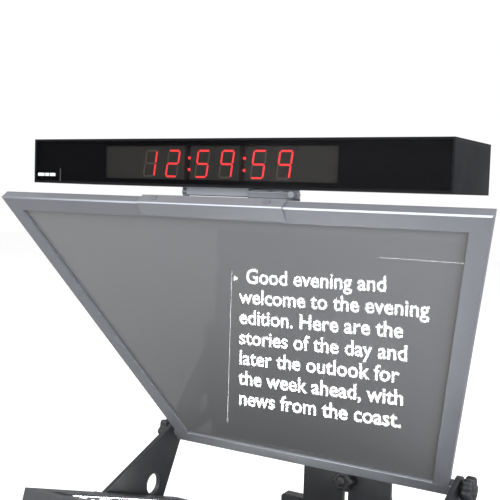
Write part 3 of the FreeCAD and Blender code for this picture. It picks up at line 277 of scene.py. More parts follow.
ALUMINIUM_WORN = (0.62, 0.63, 0.66)
# Colour of the painted highlight on the top chamfer.
PAINTED_HIGHLIGHT = (0.62, 0.66, 0.74)
TOP_ARRIS = tuple((-BACK - DOWN).normalized())
FINISHES = {
    "case_black": dict(colour=(0.009, 0.0095, 0.011), rough=0.50, grain=1400, depth=0.00002,
                       blotch=4.0, spread=0.05, edge=0.0004, worn=(0.06, 0.06, 0.065), wear=0.3,
                       Specular_IOR_Level=0.07),
    "panel_filter": smoked_filter,
    "mask_black": dict(colour=(0.002, 0.002, 0.0025), rough=0.7, edge=0.0002,
                       Specular_IOR_Level=0.05),
    # The display board is a dark olive-brown board, painted lighter than it is to lift the shade in the gaps
    # between the modules.
    "board_black": dict(colour=(0.085, 0.080, 0.068), rough=0.7, grain=350, depth=0.00006),
    "module_grey": dict(colour=(0.040, 0.0385, 0.032), rough=0.8, grain=1800, edge=0.0003,
                        spread=0.05, Specular_IOR_Level=0.15),
    "unlit_diffuser": dict(colour=(0.085, 0.062, 0.046), rough=0.4, grain=1500, edge=0.0002,
                           spread=0.05),
    "led_red": lambda: glow("led_red", (1.0, 0.034, 0.034), 1.08),
    "badge_face": dict(colour=(0.80, 0.81, 0.82), rough=0.4, grain=1500, depth=0.00002,
                       spread=0.04, edge=0.0002),
    "badge_line": dict(colour=(0.075, 0.077, 0.085), rough=0.45, grain=1500, edge=0.0001),
    "circuit_board": dict(colour=(0.012, 0.09, 0.035), rough=0.35, grain=350, depth=0.00008,
                          spread=0.3),
    "connector_metal": dict(colour=(0.62, 0.60, 0.56), rough=0.25, metallic=1.0, grain=2200,
                            depth=0.00002, edge=0.0003),
    "steel_screws": dict(colour=(0.50, 0.50, 0.52), rough=0.28, metallic=1.0, grain=2600,
                         depth=0.00002, edge=0.0003, worn=(0.75, 0.75, 0.76)),
    "frame_screws_grey": dict(colour=(0.24, 0.25, 0.27), rough=0.4, metallic=0.4, grain=2600,
                              depth=0.00002, edge=0.0003, worn=(0.5, 0.5, 0.52)),
    "button_grey": dict(colour=(0.22, 0.22, 0.24), rough=0.5, grain=1600, depth=0.00003,
                        edge=0.0004, worn=(0.34, 0.34, 0.36)),
    # plate_grey and frame_grey carry a painted highlight on the chamfer that faces TOP_ARRIS.
    "plate_grey": dict(colour=(0.198, 0.205, 0.218), rough=0.52, metallic=0.05, grain=1500,
                       depth=0.00002, spread=0.04, edge=0.0005, worn=ALUMINIUM_WORN, wear=0.2,
                       stretch=(0.06, 1, 1), bright_cut=TOP_ARRIS),
    # The cradle's grey is painted paler than the plate's, to lift the shade that the clock casts on it.
    "cradle_grey": dict(colour=(0.40, 0.43, 0.47), rough=0.45, metallic=0.1, grain=1500,
                        depth=0.00002, spread=0.04, edge=0.0005, stretch=(0.06, 1, 1)),
    "frame_grey": dict(colour=(0.172, 0.178, 0.193), rough=0.50, metallic=0.05, grain=1500,
                       depth=0.00002, spread=0.05, edge=0.0003, worn=ALUMINIUM_WORN, wear=0.2,
                       stretch=(0.05, 1, 1), bright_cut=TOP_ARRIS),
    "splitter_glass": splitter_glass,
    "gasket_rubber": dict(colour=(0.26, 0.26, 0.26), rough=0.8, grain=1100, edge=0.0002),
    "monitor_charcoal": dict(colour=(0.045, 0.047, 0.052), rough=0.5, grain=1300,
                             depth=0.00006, edge=0.001, worn=(0.16, 0.165, 0.17), wear=0.4),
    "lcd_screen": dict(colour=(0.02, 0.02, 0.025), rough=0.3, grain=4000, depth=0.00001,
                       edge=0.0003),
    "structure_black": dict(colour=(0.017, 0.018, 0.020), rough=0.45, grain=1500,
                            depth=0.00004, edge=0.0007, worn=(0.30, 0.30, 0.32), wear=0.6),
    "rod_metal": dict(colour=(0.60, 0.61, 0.63), rough=0.30, metallic=1.0, grain=1200,
                      depth=0.000015, edge=0.0006, worn=(0.75, 0.75, 0.77),
                      stretch=(1, 0.04, 1)),
    "knob_plastic": dict(colour=(0.018, 0.018, 0.020), rough=0.48, grain=1100, depth=0.00008,
                         edge=0.0006, worn=(0.09, 0.09, 0.095), wear=0.6),
    "foot_rubber": dict(colour=(0.020, 0.020, 0.020), rough=0.85, grain=800, depth=0.0001),
}
made_materials = {}


def material(name):
    if name not in made_materials:
        recipe = FINISHES[name]
        made = finish(name, **recipe) if isinstance(recipe, dict) else recipe()
        made_materials[name] = made
    return made_materials[name]


def dress_cad_nodes():
    """Gives the CAD nodes the finish of their material slot, and the cradle a paler one painted to lift the shade
    under the clock.
    """
    for part in frame["record"]["subparts"]:
        look = part["material_slot"]
        if look in FINISHES:
            for holder in nodes[part["node"]].material_slots:
                holder.material = material(look)
    # The cradle's paler grey is painted light over the shade under the clock.
    for holder in nodes["clock_cradle_plate"].material_slots:
        holder.material = material("cradle_grey")


# ---- making pieces -------------------------------------------------------------------------------
def new_piece(name, points, faces, look, body, slot=None, smooth=True, uvs=None):
    mesh = bpy.data.meshes.new(name)
    mesh.from_pydata([tuple(p) for p in points], [], faces)
    if uvs:
        layer = mesh.uv_layers.new(name="metres")
        for loop in mesh.loops:
            layer.data[loop.index].uv = uvs[loop.vertex_index]
    mesh.validate()
    if smooth:
        mesh.shade_smooth()
    piece = bpy.data.objects.new(name, mesh)
    bpy.context.scene.collection.objects.link(piece)
    mesh.materials.append(look)
    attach(piece, body)
    return piece


def apply_modifiers(piece):
    """Turns a piece's modifiers into mesh."""
    seen = piece.evaluated_get(bpy.context.evaluated_depsgraph_get())
    done = bpy.data.meshes.new_from_object(seen)
    piece.modifiers.clear()
    piece.data = done


def subdivide(piece, levels):
    piece.modifiers.new("smooth", "SUBSURF").levels = levels
    apply_modifiers(piece)


def bevel(piece, width):
    step = piece.modifiers.new("bevel", "BEVEL")
    step.width, step.segments, step.limit_method = width, 2, "ANGLE"
    apply_modifiers(piece)


def thicken(piece, thickness):
    """Gives a sheet of cloth its thickness, inwards from its faces."""
    shell = piece.modifiers.new("cloth thickness", "SOLIDIFY")
    shell.thickness, shell.offset = thickness, -1
    apply_modifiers(piece)


def basis(axis):
    """Two directions square to an axis and to each other."""
    side = axis.cross(Z) if abs(axis.z) < 0.9 else axis.cross(X)
    side.normalize()
    return side, axis.cross(side).normalized()


def lathe(centre, axis, profile, around=48, shape=None):
    """Points and faces of a turned form.

    profile has (height, radius) pairs from one end to the other, and shape(angle, height) scales
    the radius for lobes, knurls or pleats.
    """
    side, up = basis(axis)
    points, faces = [], []
    for height, radius in profile:
        for i in range(around):
            a = 2 * math.pi * i / around
            r = radius * (shape(a, height) if shape else 1)
            points.append(centre + axis * height + (side * math.cos(a) + up * math.sin(a)) * r)
    for ring in range(len(profile) - 1):
        for i in range(around):
            j = (i + 1) % around
            a, b = ring * around, (ring + 1) * around
            faces.append((a + i, a + j, b + j, b + i))
    return points, faces


def closed_lathe(centre, axis, profile, around=48, shape=None):
    """A turned form with a flat face at each end."""
    points, faces = lathe(centre, axis, profile, around, shape)
    last = (len(profile) - 1) * around
    faces.append(tuple(reversed(range(around))))
    faces.append(tuple(range(last, last + around)))
    return points, faces


# ---- knobs and screws ----------------------------------------------------------------------------
KNOB_LOBES, CAP_RISE, LOBES_FROM = 6, 2 * MM, 1.5 * MM
LARGE_KNOB, SMALL_KNOB = (13 * MM, 4 * MM), (12 * MM, 3 * MM)
BOLT_PITCH = 1.25 * MM
# Of the thread: its depth in pitches, rings of points per turn, and the slope of its end chamfers.
THREAD_DEPTH, RINGS_PER_TURN, THREAD_CHAMFER = 0.45, 4, 1.2
QUARTER_INCH_R, QUARTER_INCH_PITCH, QUARTER_INCH_LONG = 3.175 * MM, 1.27 * MM, 8 * MM
SCREW_HEAD, SCREW_SHANK_R, KNURLS, KNURL_END = 10 * MM, 2.8 * MM, 36, 1.2 * MM


def star_knob(node, body, outwards, thick, shank_r):
    """Six-lobed knob with a domed cap over its insert, on a threaded bolt."""
    low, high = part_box(node)
    centre = (low + high) / 2
    half = (high - low) / 2
    radius = max(c for c, w in zip(half, outwards) if abs(w) < 0.5)
    tip = centre + outwards * abs(half.dot(outwards))
    face = tip - outwards * (thick + CAP_RISE)

    def lobes(angle, height):
        depth = 0.12 if height > LOBES_FROM else 0.05
        return 1 - depth + depth * math.cos(KNOB_LOBES * angle)

    top = thick / MM
    profile = [
        (0.0, 0.50), (0.0, 0.62), (0.6, 0.66), (1.6, 0.70), (2.4, 0.90), (3.2, 0.97), (4.5, 1.00),
        (top - 3.0, 1.00), (top - 1.4, 0.97), (top - 0.5, 0.90), (top, 0.78), (top - 0.2, 0.60),
        (top - 0.3, 0.52), (top + 0.6, 0.50), (top + 1.5, 0.44), (top + 1.9, 0.32),
        (top + 2.0, 0.10),
    ]
    rings = [(h * MM, r * radius) for h, r in profile]
    grip = new_piece(node + "_grip", *closed_lathe(face, outwards, rings, 72, lobes),
                     material("knob_plastic"), body, "knob_plastic")
    reach = abs((face - centre).dot(outwards) + half.dot(Vector(abs(c) for c in outwards)))
    bolt = threaded_rod(node + "_bolt", body, face, -outwards, reach, shank_r)
    bolt.parent = grip
    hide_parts(node)
    return grip


def thread_mesh(start, axis, length, radius, pitch, around=20):
    """A right-handed thread as one closed skin, with a chamfer at both ends."""
    side, up = basis(axis)
    depth = pitch * THREAD_DEPTH
    steps = max(RINGS_PER_TURN, int(length / pitch * RINGS_PER_TURN))
    points, faces = [], []
    for k in range(steps + 1):
        along = length * k / steps
        end = min(along, length - along)
        for i in range(around):
            a = 2 * math.pi * i / around
            turn = (along / pitch - i / around) % 1.0
            cut = depth * abs(2 * turn - 1)
            r = min(radius - cut, radius - depth + end * THREAD_CHAMFER)
            points.append(start + axis * along + (side * math.cos(a) + up * math.sin(a)) * r)
    for k in range(steps):
        for i in range(around):
            j = (i + 1) % around
            a, b = k * around, (k + 1) * around
            faces.append((a + i, a + j, b + j, b + i))
    faces.append(tuple(reversed(range(around))))
    faces.append(tuple(range(steps * around, (steps + 1) * around)))
    return points, faces


def threaded_rod(name, body, start, axis, length, radius):
    return new_piece(name, *thread_mesh(start, axis, length, radius, BOLT_PITCH),
                     material("steel_screws"), body, "steel_screws", smooth=False)


def make_knobs():
    for side, name in ((-1, "left"), (1, "right")):
        for knob in (f"hinge_knob_{name}", f"monitor_knob_{name}"):
            star_knob(knob, knob, X * side, *LARGE_KNOB)
    star_knob("carriage_clamp_knob", "carriage_clamp", X, *SMALL_KNOB)
    star_knob("riser_clamp_knob", "riser_clamp", X, *SMALL_KNOB)
    star_knob("platform_knob", "platform_lock", -Y, *SMALL_KNOB)


def make_camera_screw():
    """Knurled head below the platform and a quarter-inch thread above it."""
    low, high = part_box("camera_screw")
    centre = Vector((0, (low.y + high.y) / 2, low.z))
    radius = (high.y - low.y) / 2

    def knurl(angle, height):
        if KNURL_END < height < SCREW_HEAD - KNURL_END:
            return 1 - 0.035 * (0.5 + 0.5 * math.cos(KNURLS * angle))
        return 0.955

    def steel(name, form, **settings):
        return new_piece(name, *form, material("steel_screws"), "camera_screw", "steel_screws",
                         **settings)

    rings = [(0.0, 0.30), (0.8, 0.34), (0.8, 0.62), (0.0, 0.72), (0.0, 0.92), (0.6, 1.0),
             (1.3, 1.0), (8.7, 1.0), (9.4, 1.0), (10.0, 0.92), (10.0, 0.5)]
    head = steel("camera_screw_head", closed_lathe(
        centre, Z, [(h * MM, r * radius) for h, r in rings], 144, knurl))
    shank_top = high.z - QUARTER_INCH_LONG
    shank_long = shank_top - centre.z - SCREW_HEAD
    shank = steel("camera_screw_shank", closed_lathe(
        centre + Z * SCREW_HEAD, Z, [(0, SCREW_SHANK_R), (shank_long, SCREW_SHANK_R)], 32),
        smooth=False)
    tip = steel("camera_screw_thread", thread_mesh(
        Vector((0, centre.y, shank_top)), Z, QUARTER_INCH_LONG, QUARTER_INCH_R,
        QUARTER_INCH_PITCH, 28), smooth=False)
    shank.parent = head
    tip.parent = head
    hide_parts("camera_screw")


# ---- clock front ---------------------------------------------------------------------------------
# Millimetres, from the middle of the clock's lower front edge.
DIGIT_H, DIGIT_W, DIGIT_LEAN, SEGMENT_W = 25.4, 13.8, math.tan(math.radians(8)), 1.65
SEGMENT_GAP = 0.45
DIGIT_PITCH, PAIR_PITCH, DIGITS_X, DIGITS_Z = 26.0, 58.9, -3.4, 20.9
LIT = {"1": "bc", "2": "abged", "5": "afgcd", "9": "abcfg"}
SHOWN = "125959"
BADGE_UP, BADGE_HALF_Z, BADGE_THICK, BADGE_CORNER = 8.4 * MM, 1.55 * MM, 0.35 * MM, 0.7 * MM
# Millimetres from the case's left end to the middle of each mark on the badge, and half its width.
BADGE_MARKS = ((9.2, 4.4), (17.2, 2.6), (24.6, 3.8))


def segment_outlines():
    """Corners (x, z) in millimetres of the seven bars of one figure, before its slant."""
    w, h = DIGIT_W / 2 - SEGMENT_W / 2, DIGIT_H / 2 - SEGMENT_W / 2
    s, g = SEGMENT_W / 2, SEGMENT_GAP

    def flat(z):
        return [(g - w, z), (g - w + s, z + s), (w - g - s, z + s), (w - g, z),
                (w - g - s, z - s), (g - w + s, z - s)]

    def upright(x, low, high):
        low, high = low + g, high - g
        return [(x, low), (x + s, low + s), (x + s, high - s), (x, high),
                (x - s, high - s), (x - s, low + s)]

    return {"a": flat(h), "g": flat(0), "d": flat(-h),
            "b": upright(w, 0, h), "c": upright(w, -h, 0),
            "f": upright(-w, 0, h), "e": upright(-w, -h, 0)}


def make_unlit_segments():
    """The bars that aren't lit, just visible in the faces of the figures."""
    low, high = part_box("digit_segments")
    points, faces = [], []
    outlines = segment_outlines()
    for place, figure in enumerate(SHOWN):
        pair, side = place // 2 - 1, place % 2 - 0.5
        centre = DIGITS_X + pair * PAIR_PITCH + side * DIGIT_PITCH
        for name, outline in outlines.items():
            if name in LIT[figure]:
                continue
            start = len(points)
            for depth in (low.y, high.y):
                points += [Vector(((centre + x + z * DIGIT_LEAN) * MM, depth,
                                   CLOCK_FRONT.z + (DIGITS_Z + z) * MM)) for x, z in outline]
            faces.append(tuple(start + i for i in range(6)))
            faces.append(tuple(start + 6 + i for i in reversed(range(6))))
            for i in range(6):
                a, b = start + i, start + (i + 1) % 6
                faces.append((a, a + 6, b + 6, b))
    new_piece("unlit_segments", points, faces, material("unlit_diffuser"), "clock", "module_grey",
              smooth=False)


def rounded_plate(name, half_x, half_z, thick, corner, centre, look, body, slot):
    """A thin plate that faces -Y, with round corners and a soft edge."""
    outline = []
    for sx, sz, start in ((1, 1, 0), (-1, 1, 90), (-1, -1, 180), (1, -1, 270)):
        for step in range(5):
            a = math.radians(start + step * 22.5)
            outline.append((sx * (half_x - corner) + corner * math.cos(a),
                            sz * (half_z - corner) + corner * math.sin(a)))
    count = len(outline)
    points = [centre + Vector((x, 0, z)) for x, z in outline]
    points += [centre + Vector((x, -thick, z)) for x, z in outline]
    faces = [tuple(range(count)), tuple(reversed(range(count, 2 * count)))]
    faces += [(i, count + i, count + (i + 1) % count, (i + 1) % count) for i in range(count)]
    piece = new_piece(name, points, faces, look, body, slot, smooth=False)
    recalculate(piece)
    bevel(piece, thick * 0.3)
    return piece


def recalculate(piece):
    """Points every face's normal outwards."""
    work = bmesh.new()
    work.from_mesh(piece.data)
    bmesh.ops.recalc_face_normals(work, faces=work.faces)
    work.to_mesh(piece.data)
    work.free()


def make_badge():
    """A small blank pale badge at the panel's lower left, and the thin dim line beside it."""
    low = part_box("clock_front_panel")[0]

    def at(from_left):
        return Vector((CLOCK_LOW.x + from_left, low.y, CLOCK_FRONT.z + BADGE_UP))

    for i, (place, half) in enumerate(BADGE_MARKS):
        rounded_plate(f"clock_badge_{i}", half * MM, BADGE_HALF_Z, BADGE_THICK, BADGE_CORNER,
                      at(place * MM), material("badge_face"), "clock", "case_black")
    rounded_plate("clock_badge_line", 0.4 * MM, 6.6 * MM, 0.3 * MM, 0.2 * MM, at(35 * MM),
                  material("badge_line"), "clock", "case_black")


# ---- the prompter's picture ----------------------------------------------------------------------
PICTURE_Y, PICTURE_TOP, PICTURE_HALF_W, PICTURE_H = 0.058, 0.3834, 0.152, 0.228
TEXT_LEFT, FIRST_BASELINE, LINE_PITCH, CAP_HEIGHT = -0.1345, 0.3425, 0.0256, 0.0178
TEXT_TURN, FIRST_INDENT, TEXT_BOLDNESS = math.radians(1.5), 9 * MM, 0.020
SCRIPT = ["Good evening and", "welcome to the evening", "edition. Here are the",
          "stories of the day and", "later the outlook for", "the week ahead, with",
          "news from the coast."]
# The triangle that points at the line being read: millimetres from the first line's start.
CUE = [(-8.5, 8.6), (-8.5, 1.4), (-1.5, 5.0)]
# How far in front of the panel the lit picture and the glowing strips of painted highlight over it stand.
PICTURE_LIFT, EDGE_LIFT, EDGE_WIDTH, EDGE_LEFT_X = 0.3 * MM, 0.1 * MM, 0.7 * MM, -0.1485


def onto_screen(points):
    """Sends upright points of the seen picture to the monitor's face, all turned a little."""
    pivot = Vector((0, PICTURE_Y, PICTURE_TOP - PICTURE_H / 2))
    turn = Matrix.Rotation(-TEXT_TURN, 3, "Y")
    return [mirrored(pivot + turn @ (p - pivot)) for p in points]


def text_mesh(body):
    """The flat outline mesh of a line of bold text at size 1, as points (x, y) and faces."""
    curve = bpy.data.curves.new("line", "FONT")
    curve.body, curve.offset, curve.resolution_u = body, TEXT_BOLDNESS, 4
    holder = bpy.data.objects.new("line", curve)
    bpy.context.scene.collection.objects.link(holder)
    bpy.context.view_layer.update()
    seen = holder.evaluated_get(bpy.context.evaluated_depsgraph_get())
    mesh = bpy.data.meshes.new_from_object(seen)
    points = [(v.co.x, v.co.y) for v in mesh.vertices]
    faces = [tuple(p.vertices) for p in mesh.polygons]
    bpy.data.objects.remove(holder)
    bpy.data.meshes.remove(mesh)
    return points, faces


def make_script_text():
    """The lines of text and the cue, as lit faces that the glass shows the right way round."""
    unit = CAP_HEIGHT / max(y for x, y in text_mesh("H")[0])
    points, faces = [], []
    for row, body in enumerate(SCRIPT):
        outline, cells = text_mesh(body)
        start, baseline = len(points), FIRST_BASELINE - row * LINE_PITCH
        left = TEXT_LEFT + (FIRST_INDENT if row == 0 else 0)
        points += [Vector((left + x * unit, PICTURE_Y, baseline + y * unit))
                   for x, y in outline]
        faces += [tuple(start + i for i in reversed(cell)) for cell in cells]
    start = len(points)
    points += [Vector((TEXT_LEFT + x * MM, PICTURE_Y, FIRST_BASELINE + z * MM)) for x, z in CUE]
    faces.append((start, start + 1, start + 2))
    look = glow("script_white", (1, 1, 1), 42.0, 0.02)
    text = new_piece("script_text", onto_screen(points), faces, look, "monitor", "lcd_screen",
                     smooth=False)
    text.visible_diffuse = False


def screen_quad(name, x, z, lift, look):
    """A flat patch of the seen picture between two x and two z, lifted off the screen's face."""
    corners = [Vector((x[0], PICTURE_Y, z[0])), Vector((x[1], PICTURE_Y, z[0])),
               Vector((x[1], PICTURE_Y, z[1])), Vector((x[0], PICTURE_Y, z[1]))]
    tilt_up = mirrored(MIRROR_POINT + Y) - mirrored(MIRROR_POINT)
    placed = [mirrored(p) + tilt_up.normalized() * lift for p in corners]
    patch = new_piece(name, placed, [(3, 2, 1, 0)], look, "monitor", "lcd_screen", smooth=False)
    patch.visible_diffuse = False


def make_screen():
    """The dim lit picture, and glowing strips at its left and its top right that are painted highlights on the
    picture's edges.
    """
    low, high = PICTURE_TOP - PICTURE_H, PICTURE_TOP
    lit = glow("screen_glow", (0.020, 0.021, 0.024), 1.0, 0.1)
    screen_quad("screen_picture", (-PICTURE_HALF_W, PICTURE_HALF_W), (low, high), PICTURE_LIFT, lit)
    # Glowing strips along the picture's left and top right edges: painted highlights.
    rim = glow("screen_edge_highlight", (0.95, 0.97, 1.0), 22.0, 0.02)
    screen_quad("screen_edge_left", (EDGE_LEFT_X, EDGE_LEFT_X + EDGE_WIDTH),
                (low + 0.004, high - 0.03), EDGE_LIFT, rim)
    screen_quad("screen_edge_highlight_top", (0.050, 0.149), (high - 2 * EDGE_WIDTH, high - EDGE_WIDTH),
                EDGE_LIFT, rim)


# ---- hood ----------------------------------------------------------------------------------------
HOOD_SKIN = 1.2 * MM
ACROSS, ALONG, INWARDS = 32, 30, 9
AROUND = 4 * ACROSS
LENS_HOLE_R = 63.5 * MM
SIM_FRAMES = 26
# How much bigger the sheet is than its frame, and how far its points may move: outwards, inwards
# and along the sheet.
EXTRA_CLOTH, MOVE_OUT, MOVE_IN, MOVE_ALONG = 0.022, 3.5 * MM, 13 * MM, 6 * MM
# Millimetres that the sheet is drawn in before the simulation, on its sides and on its back.
DRAWN_SIDES, DRAWN_BACK, DRAWN_LEAST = 6.5, 2.0, 0.2
# Sizes in the weave's UVs: once round the hood, in metres, and a step along it, in millimetres.
HOOD_ROUND_UV, HOOD_STEP_UV = 1.2, 8.5
PLEATS, SLEEVE_ROWS, SLEEVE_AROUND, SLEEVE_SKIN = 26, 26, 260, 1.0 * MM
SLEEVE_TIP_R = 51.6 * MM


def hood_rims():
    """Matching corner lists, front and back, going round from the top left."""
    front_top = far("hood_top_panel", 3, -1, 1)
    front_bottom = far("hood_bottom_panel", 3, -1, -1)
    back_top = far("hood_back_panel", 0.2, 1, 1)
    back_bottom = far("hood_back_panel", 1, 1, -1)

    def flip(p):
        return Vector((-p.x, p.y, p.z))

    front = [flip(front_top), front_top, front_bottom, flip(front_bottom)]
    back = [flip(back_top), back_top, back_bottom, flip(back_bottom)]
    return front, back


def hood_rings():
    """Rings of points: from the frame's rim over four sides, then across the back to the lens."""
    front, back = hood_rims()
    low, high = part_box("hood_back_panel")
    lens = Vector((0, high.y, (low.z + high.z) / 2))
    rings = []
    for k in range(ALONG + INWARDS + 1):
        ring = []
        for i in range(AROUND):
            side, u = i // ACROSS, i % ACROSS / ACROSS
            a, b = side, (side + 1) % 4
            edge = back[a].lerp(back[b], u)
            if k <= ALONG:
                ring.append(front[a].lerp(front[b], u).lerp(edge, k / ALONG))
            else:
                turn = math.atan2(edge.z - lens.z, edge.x)
                hole = lens + Vector((math.cos(turn), 0, math.sin(turn))) * LENS_HOLE_R
                ring.append(edge.lerp(hole, (k - ALONG) / INWARDS))
        rings.append(ring)
    return rings


def make_hood():
    """One sheet of coated nylon, simulated between the frame's rim, the back's edge and the lens.

    Also gives the paths of its four long seams and the area of the cut pieces.
    """
    points, faces, uvs = [], [], []
    for k, ring in enumerate(hood_rings()):
        points += ring
        uvs += [(i / AROUND * HOOD_ROUND_UV, k * HOOD_STEP_UV * MM) for i in range(AROUND)]
    for k in range(ALONG + INWARDS):
        a, b = k * AROUND, (k + 1) * AROUND
        for i in range(AROUND):
            j = (i + 1) % AROUND
            faces.append((a + i, b + i, b + j, a + j))
    look = woven("hood_fabric", (0.012, 0.012, 0.014), 0.7 * MM)
    hood = new_piece("fabric_hood", points, faces, look, "head", "hood_fabric", uvs=uvs)
    recalculate(hood)
    flat = sum(face.area for face in hood.data.polygons)
    sewn = [k * AROUND + i for k in (0, ALONG, ALONG + INWARDS) for i in range(AROUND)]
    slacken(hood)
    settle(hood, sewn)
    seams = [[hood.data.vertices[k * AROUND + side * ACROSS].co.copy() for k in range(ALONG + 1)]
             for side in range(4)]
    subdivide(hood, 1)
    thicken(hood, HOOD_SKIN)
    hood.data.shade_smooth()
    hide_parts("hood_top_panel", "hood_bottom_panel", "hood_side_panels", "hood_back_panel")
    return hood, seams, flat


def slacken(hood):
    """Draws the sheet in a little between its seams, with uneven ripples and creases."""
    mesh = hood.data
    normals = [v.normal.copy() for v in mesh.vertices]
    for index, vertex in enumerate(mesh.vertices):
        k, i = divmod(index, AROUND)
        u = i % ACROSS / ACROSS
        on_back = k > ALONG
        v = (k - ALONG) / INWARDS if on_back else k / ALONG
        slack = math.sin(math.pi * v) * math.sin(math.pi * u)
        if slack <= 0:
            continue
        ripple = noise.noise(Vector((u * 5 + i // ACROSS * 7, v * 1.6, 3.0)))
        crease = noise.noise(vertex.co * 27)
        depth = DRAWN_BACK if on_back else DRAWN_SIDES
        pull = slack * depth + slack ** 0.5 * (ripple * 2.6 + crease * 1.1)
        vertex.co = vertex.co - normals[index] * max(pull, DRAWN_LEAST) * MM


def settle(piece, sewn):
    """Cloth simulation of a sheet with more cloth in it than its frame needs, held at its seams.

    How far a point may move is capped, so that the cloth stays clear of what is round it.
    """
    rest = [v.co.copy() for v in piece.data.vertices]
    normals = [v.normal.copy() for v in piece.data.vertices]
    piece.vertex_groups.new(name="sewn").add(sewn, 1.0, "REPLACE")
    cloth = piece.modifiers.new("cloth", "CLOTH")
    cloth.settings.vertex_group_mass = "sewn"
    cloth.settings.quality, cloth.settings.mass = 7, 0.25
    cloth.settings.tension_stiffness = cloth.settings.compression_stiffness = 18
    cloth.settings.shear_stiffness, cloth.settings.bending_stiffness = 6, 0.35
    cloth.settings.shrink_min = cloth.settings.shrink_max = -EXTRA_CLOTH
    cloth.collision_settings.use_collision = False
    cloth.collision_settings.use_self_collision = False
    cloth.point_cache.frame_start, cloth.point_cache.frame_end = 1, SIM_FRAMES
    for step in range(1, SIM_FRAMES + 1):
        bpy.context.scene.frame_set(step)
    seen = piece.evaluated_get(bpy.context.evaluated_depsgraph_get())
    moved = [v.co.copy() for v in seen.data.vertices]
    piece.modifiers.clear()
    piece.vertex_groups.clear()
    bpy.context.scene.frame_set(1)
    for vertex, start, end, normal in zip(piece.data.vertices, rest, moved, normals):
        way = end - start
        out = way.dot(normal)
        kept = min(max(out, -MOVE_IN), MOVE_OUT)
        across = way - normal * out
        if across.length > MOVE_ALONG:
            across = across * (MOVE_ALONG / across.length)
        vertex.co = start + normal * kept + across


def tube_along(name, path, radius, look, body, slot, closed=False, around=8):
    """A round cord of fabric, such as piping, that follows a list of points."""
    count = len(path)
    points, faces, uvs = [], [], []
    run = 0.0
    for i, p in enumerate(path):
        ahead = path[(i + 1) % count] if closed or i < count - 1 else p
        behind = path[i - 1] if closed or i > 0 else p
        way = (ahead - behind).normalized()
        side, up = basis(way)
        run += (p - behind).length
        for j in range(around):
            a = 2 * math.pi * j / around
            points.append(p + (side * math.cos(a) + up * math.sin(a)) * radius)
            uvs.append((run, j / around * radius * 6))
    for i in range(count if closed else count - 1):
        for j in range(around):
            k = (j + 1) % around
            a, b = i * around, (i + 1) % count * around
            faces.append((a + j, a + k, b + k, b + j))
    if not closed:
        faces.append(tuple(reversed(range(around))))
        faces.append(tuple(range((count - 1) * around, count * around)))
    piece = new_piece(name, points, faces, look, body, slot, uvs=uvs)
    recalculate(piece)
    return piece


def between(a, b, steps):
    return [a.lerp(b, i / steps) for i in range(steps + 1)]


def make_hood_trim(seams):
    """Piping over the four long seams and the back edge, and a binding round the front rim."""
    front, back = hood_rims()
    look = woven("hood_piping", (0.020, 0.020, 0.023), 0.5 * MM, depth=0.0001)
    made = []
    for path, name in zip(seams, ("top_left", "top_right", "bottom_right", "bottom_left")):
        made.append(tube_along(f"hood_piping_{name}", path, 1.7 * MM, look, "head",
                               "hood_fabric"))
    for rim, corners, radius in (("back", back, 1.6 * MM), ("front", front, 1.9 * MM)):
        path = []
        for i in range(4):
            path += between(corners[i], corners[(i + 1) % 4], 16)[:-1]
        made.append(tube_along(f"hood_binding_{rim}", path, radius, look, "head",
                               "hood_fabric", closed=True))
    return made


def make_lens_collar():
    """Gathered sleeve from the back panel to an elastic hem, open for the lens."""
    low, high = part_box("lens_collar")
    axis_point = Vector((0, low.y, (low.z + high.z) / 2))
    root, length = (high.x - low.x) / 2 - 0.4 * MM, high.y - low.y

    def gather(angle, height):
        t = height / length
        wander = 0.6 * math.sin(3 * angle + 1) + 0.4 * math.sin(5 * angle)
        pleat = 0.5 + 0.5 * math.sin(PLEATS * angle + wander * 1.4)
        return 1 - 0.035 * min(1.0, 0.15 + t) * pleat

    rings = []
    for k in range(SLEEVE_ROWS + 1):
        t = k / SLEEVE_ROWS
        bulge = 0.055 * math.sin(math.pi * t) * root * 0.5
        rings.append((length * 0.93 * t, root + (SLEEVE_TIP_R - root) * t ** 0.9 + bulge - 0.0008))
    points, faces = lathe(axis_point, Y, rings, SLEEVE_AROUND, gather)
    uvs = [(i % SLEEVE_AROUND / SLEEVE_AROUND * 0.42, i // SLEEVE_AROUND * 0.0017)
           for i in range(len(points))]
    look = woven("sleeve_fabric", (0.013, 0.013, 0.015), 0.6 * MM)
    sleeve = new_piece("lens_sleeve", points, faces, look, "head", "hood_fabric", uvs=uvs)
    recalculate(sleeve)
    thicken(sleeve, SLEEVE_SKIN)
    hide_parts("lens_collar")
    hem_path, seam_path = [], []
    for i in range(SLEEVE_AROUND):
        a = 2 * math.pi * i / SLEEVE_AROUND
        outwards = Vector((math.cos(a), 0, math.sin(a)))
        wave = 0.6 * MM * math.sin(PLEATS * a)
        hem_path.append(axis_point + outwards * (SLEEVE_TIP_R - 1.6 * MM + wave)
                        + Y * (length - 2.2 * MM))
        seam_path.append(axis_point + outwards * (root - 0.6 * MM) + Y * 1.2 * MM)
    look = woven("hem_fabric", (0.018, 0.018, 0.020), 0.5 * MM, depth=0.0002)
    trim = [tube_along(name, path, radius, look, "head", "hood_fabric", closed=True)
            for name, path, radius in (("lens_sleeve_hem", hem_path, 2.0 * MM),
                                       ("lens_sleeve_seam", seam_path, 1.5 * MM))]
    return sleeve, trim


# ---- stage ---------------------------------------------------------------------------------------
FLOOR_HALF = 6.0
# Strength of the world's light on the object, and as the camera sees it behind the object.
WORLD_LIGHT, WORLD_SEEN = 0.62, 1.02
COOL, COLD = (0.84, 0.89, 1.0), (0.72, 0.83, 1.0)
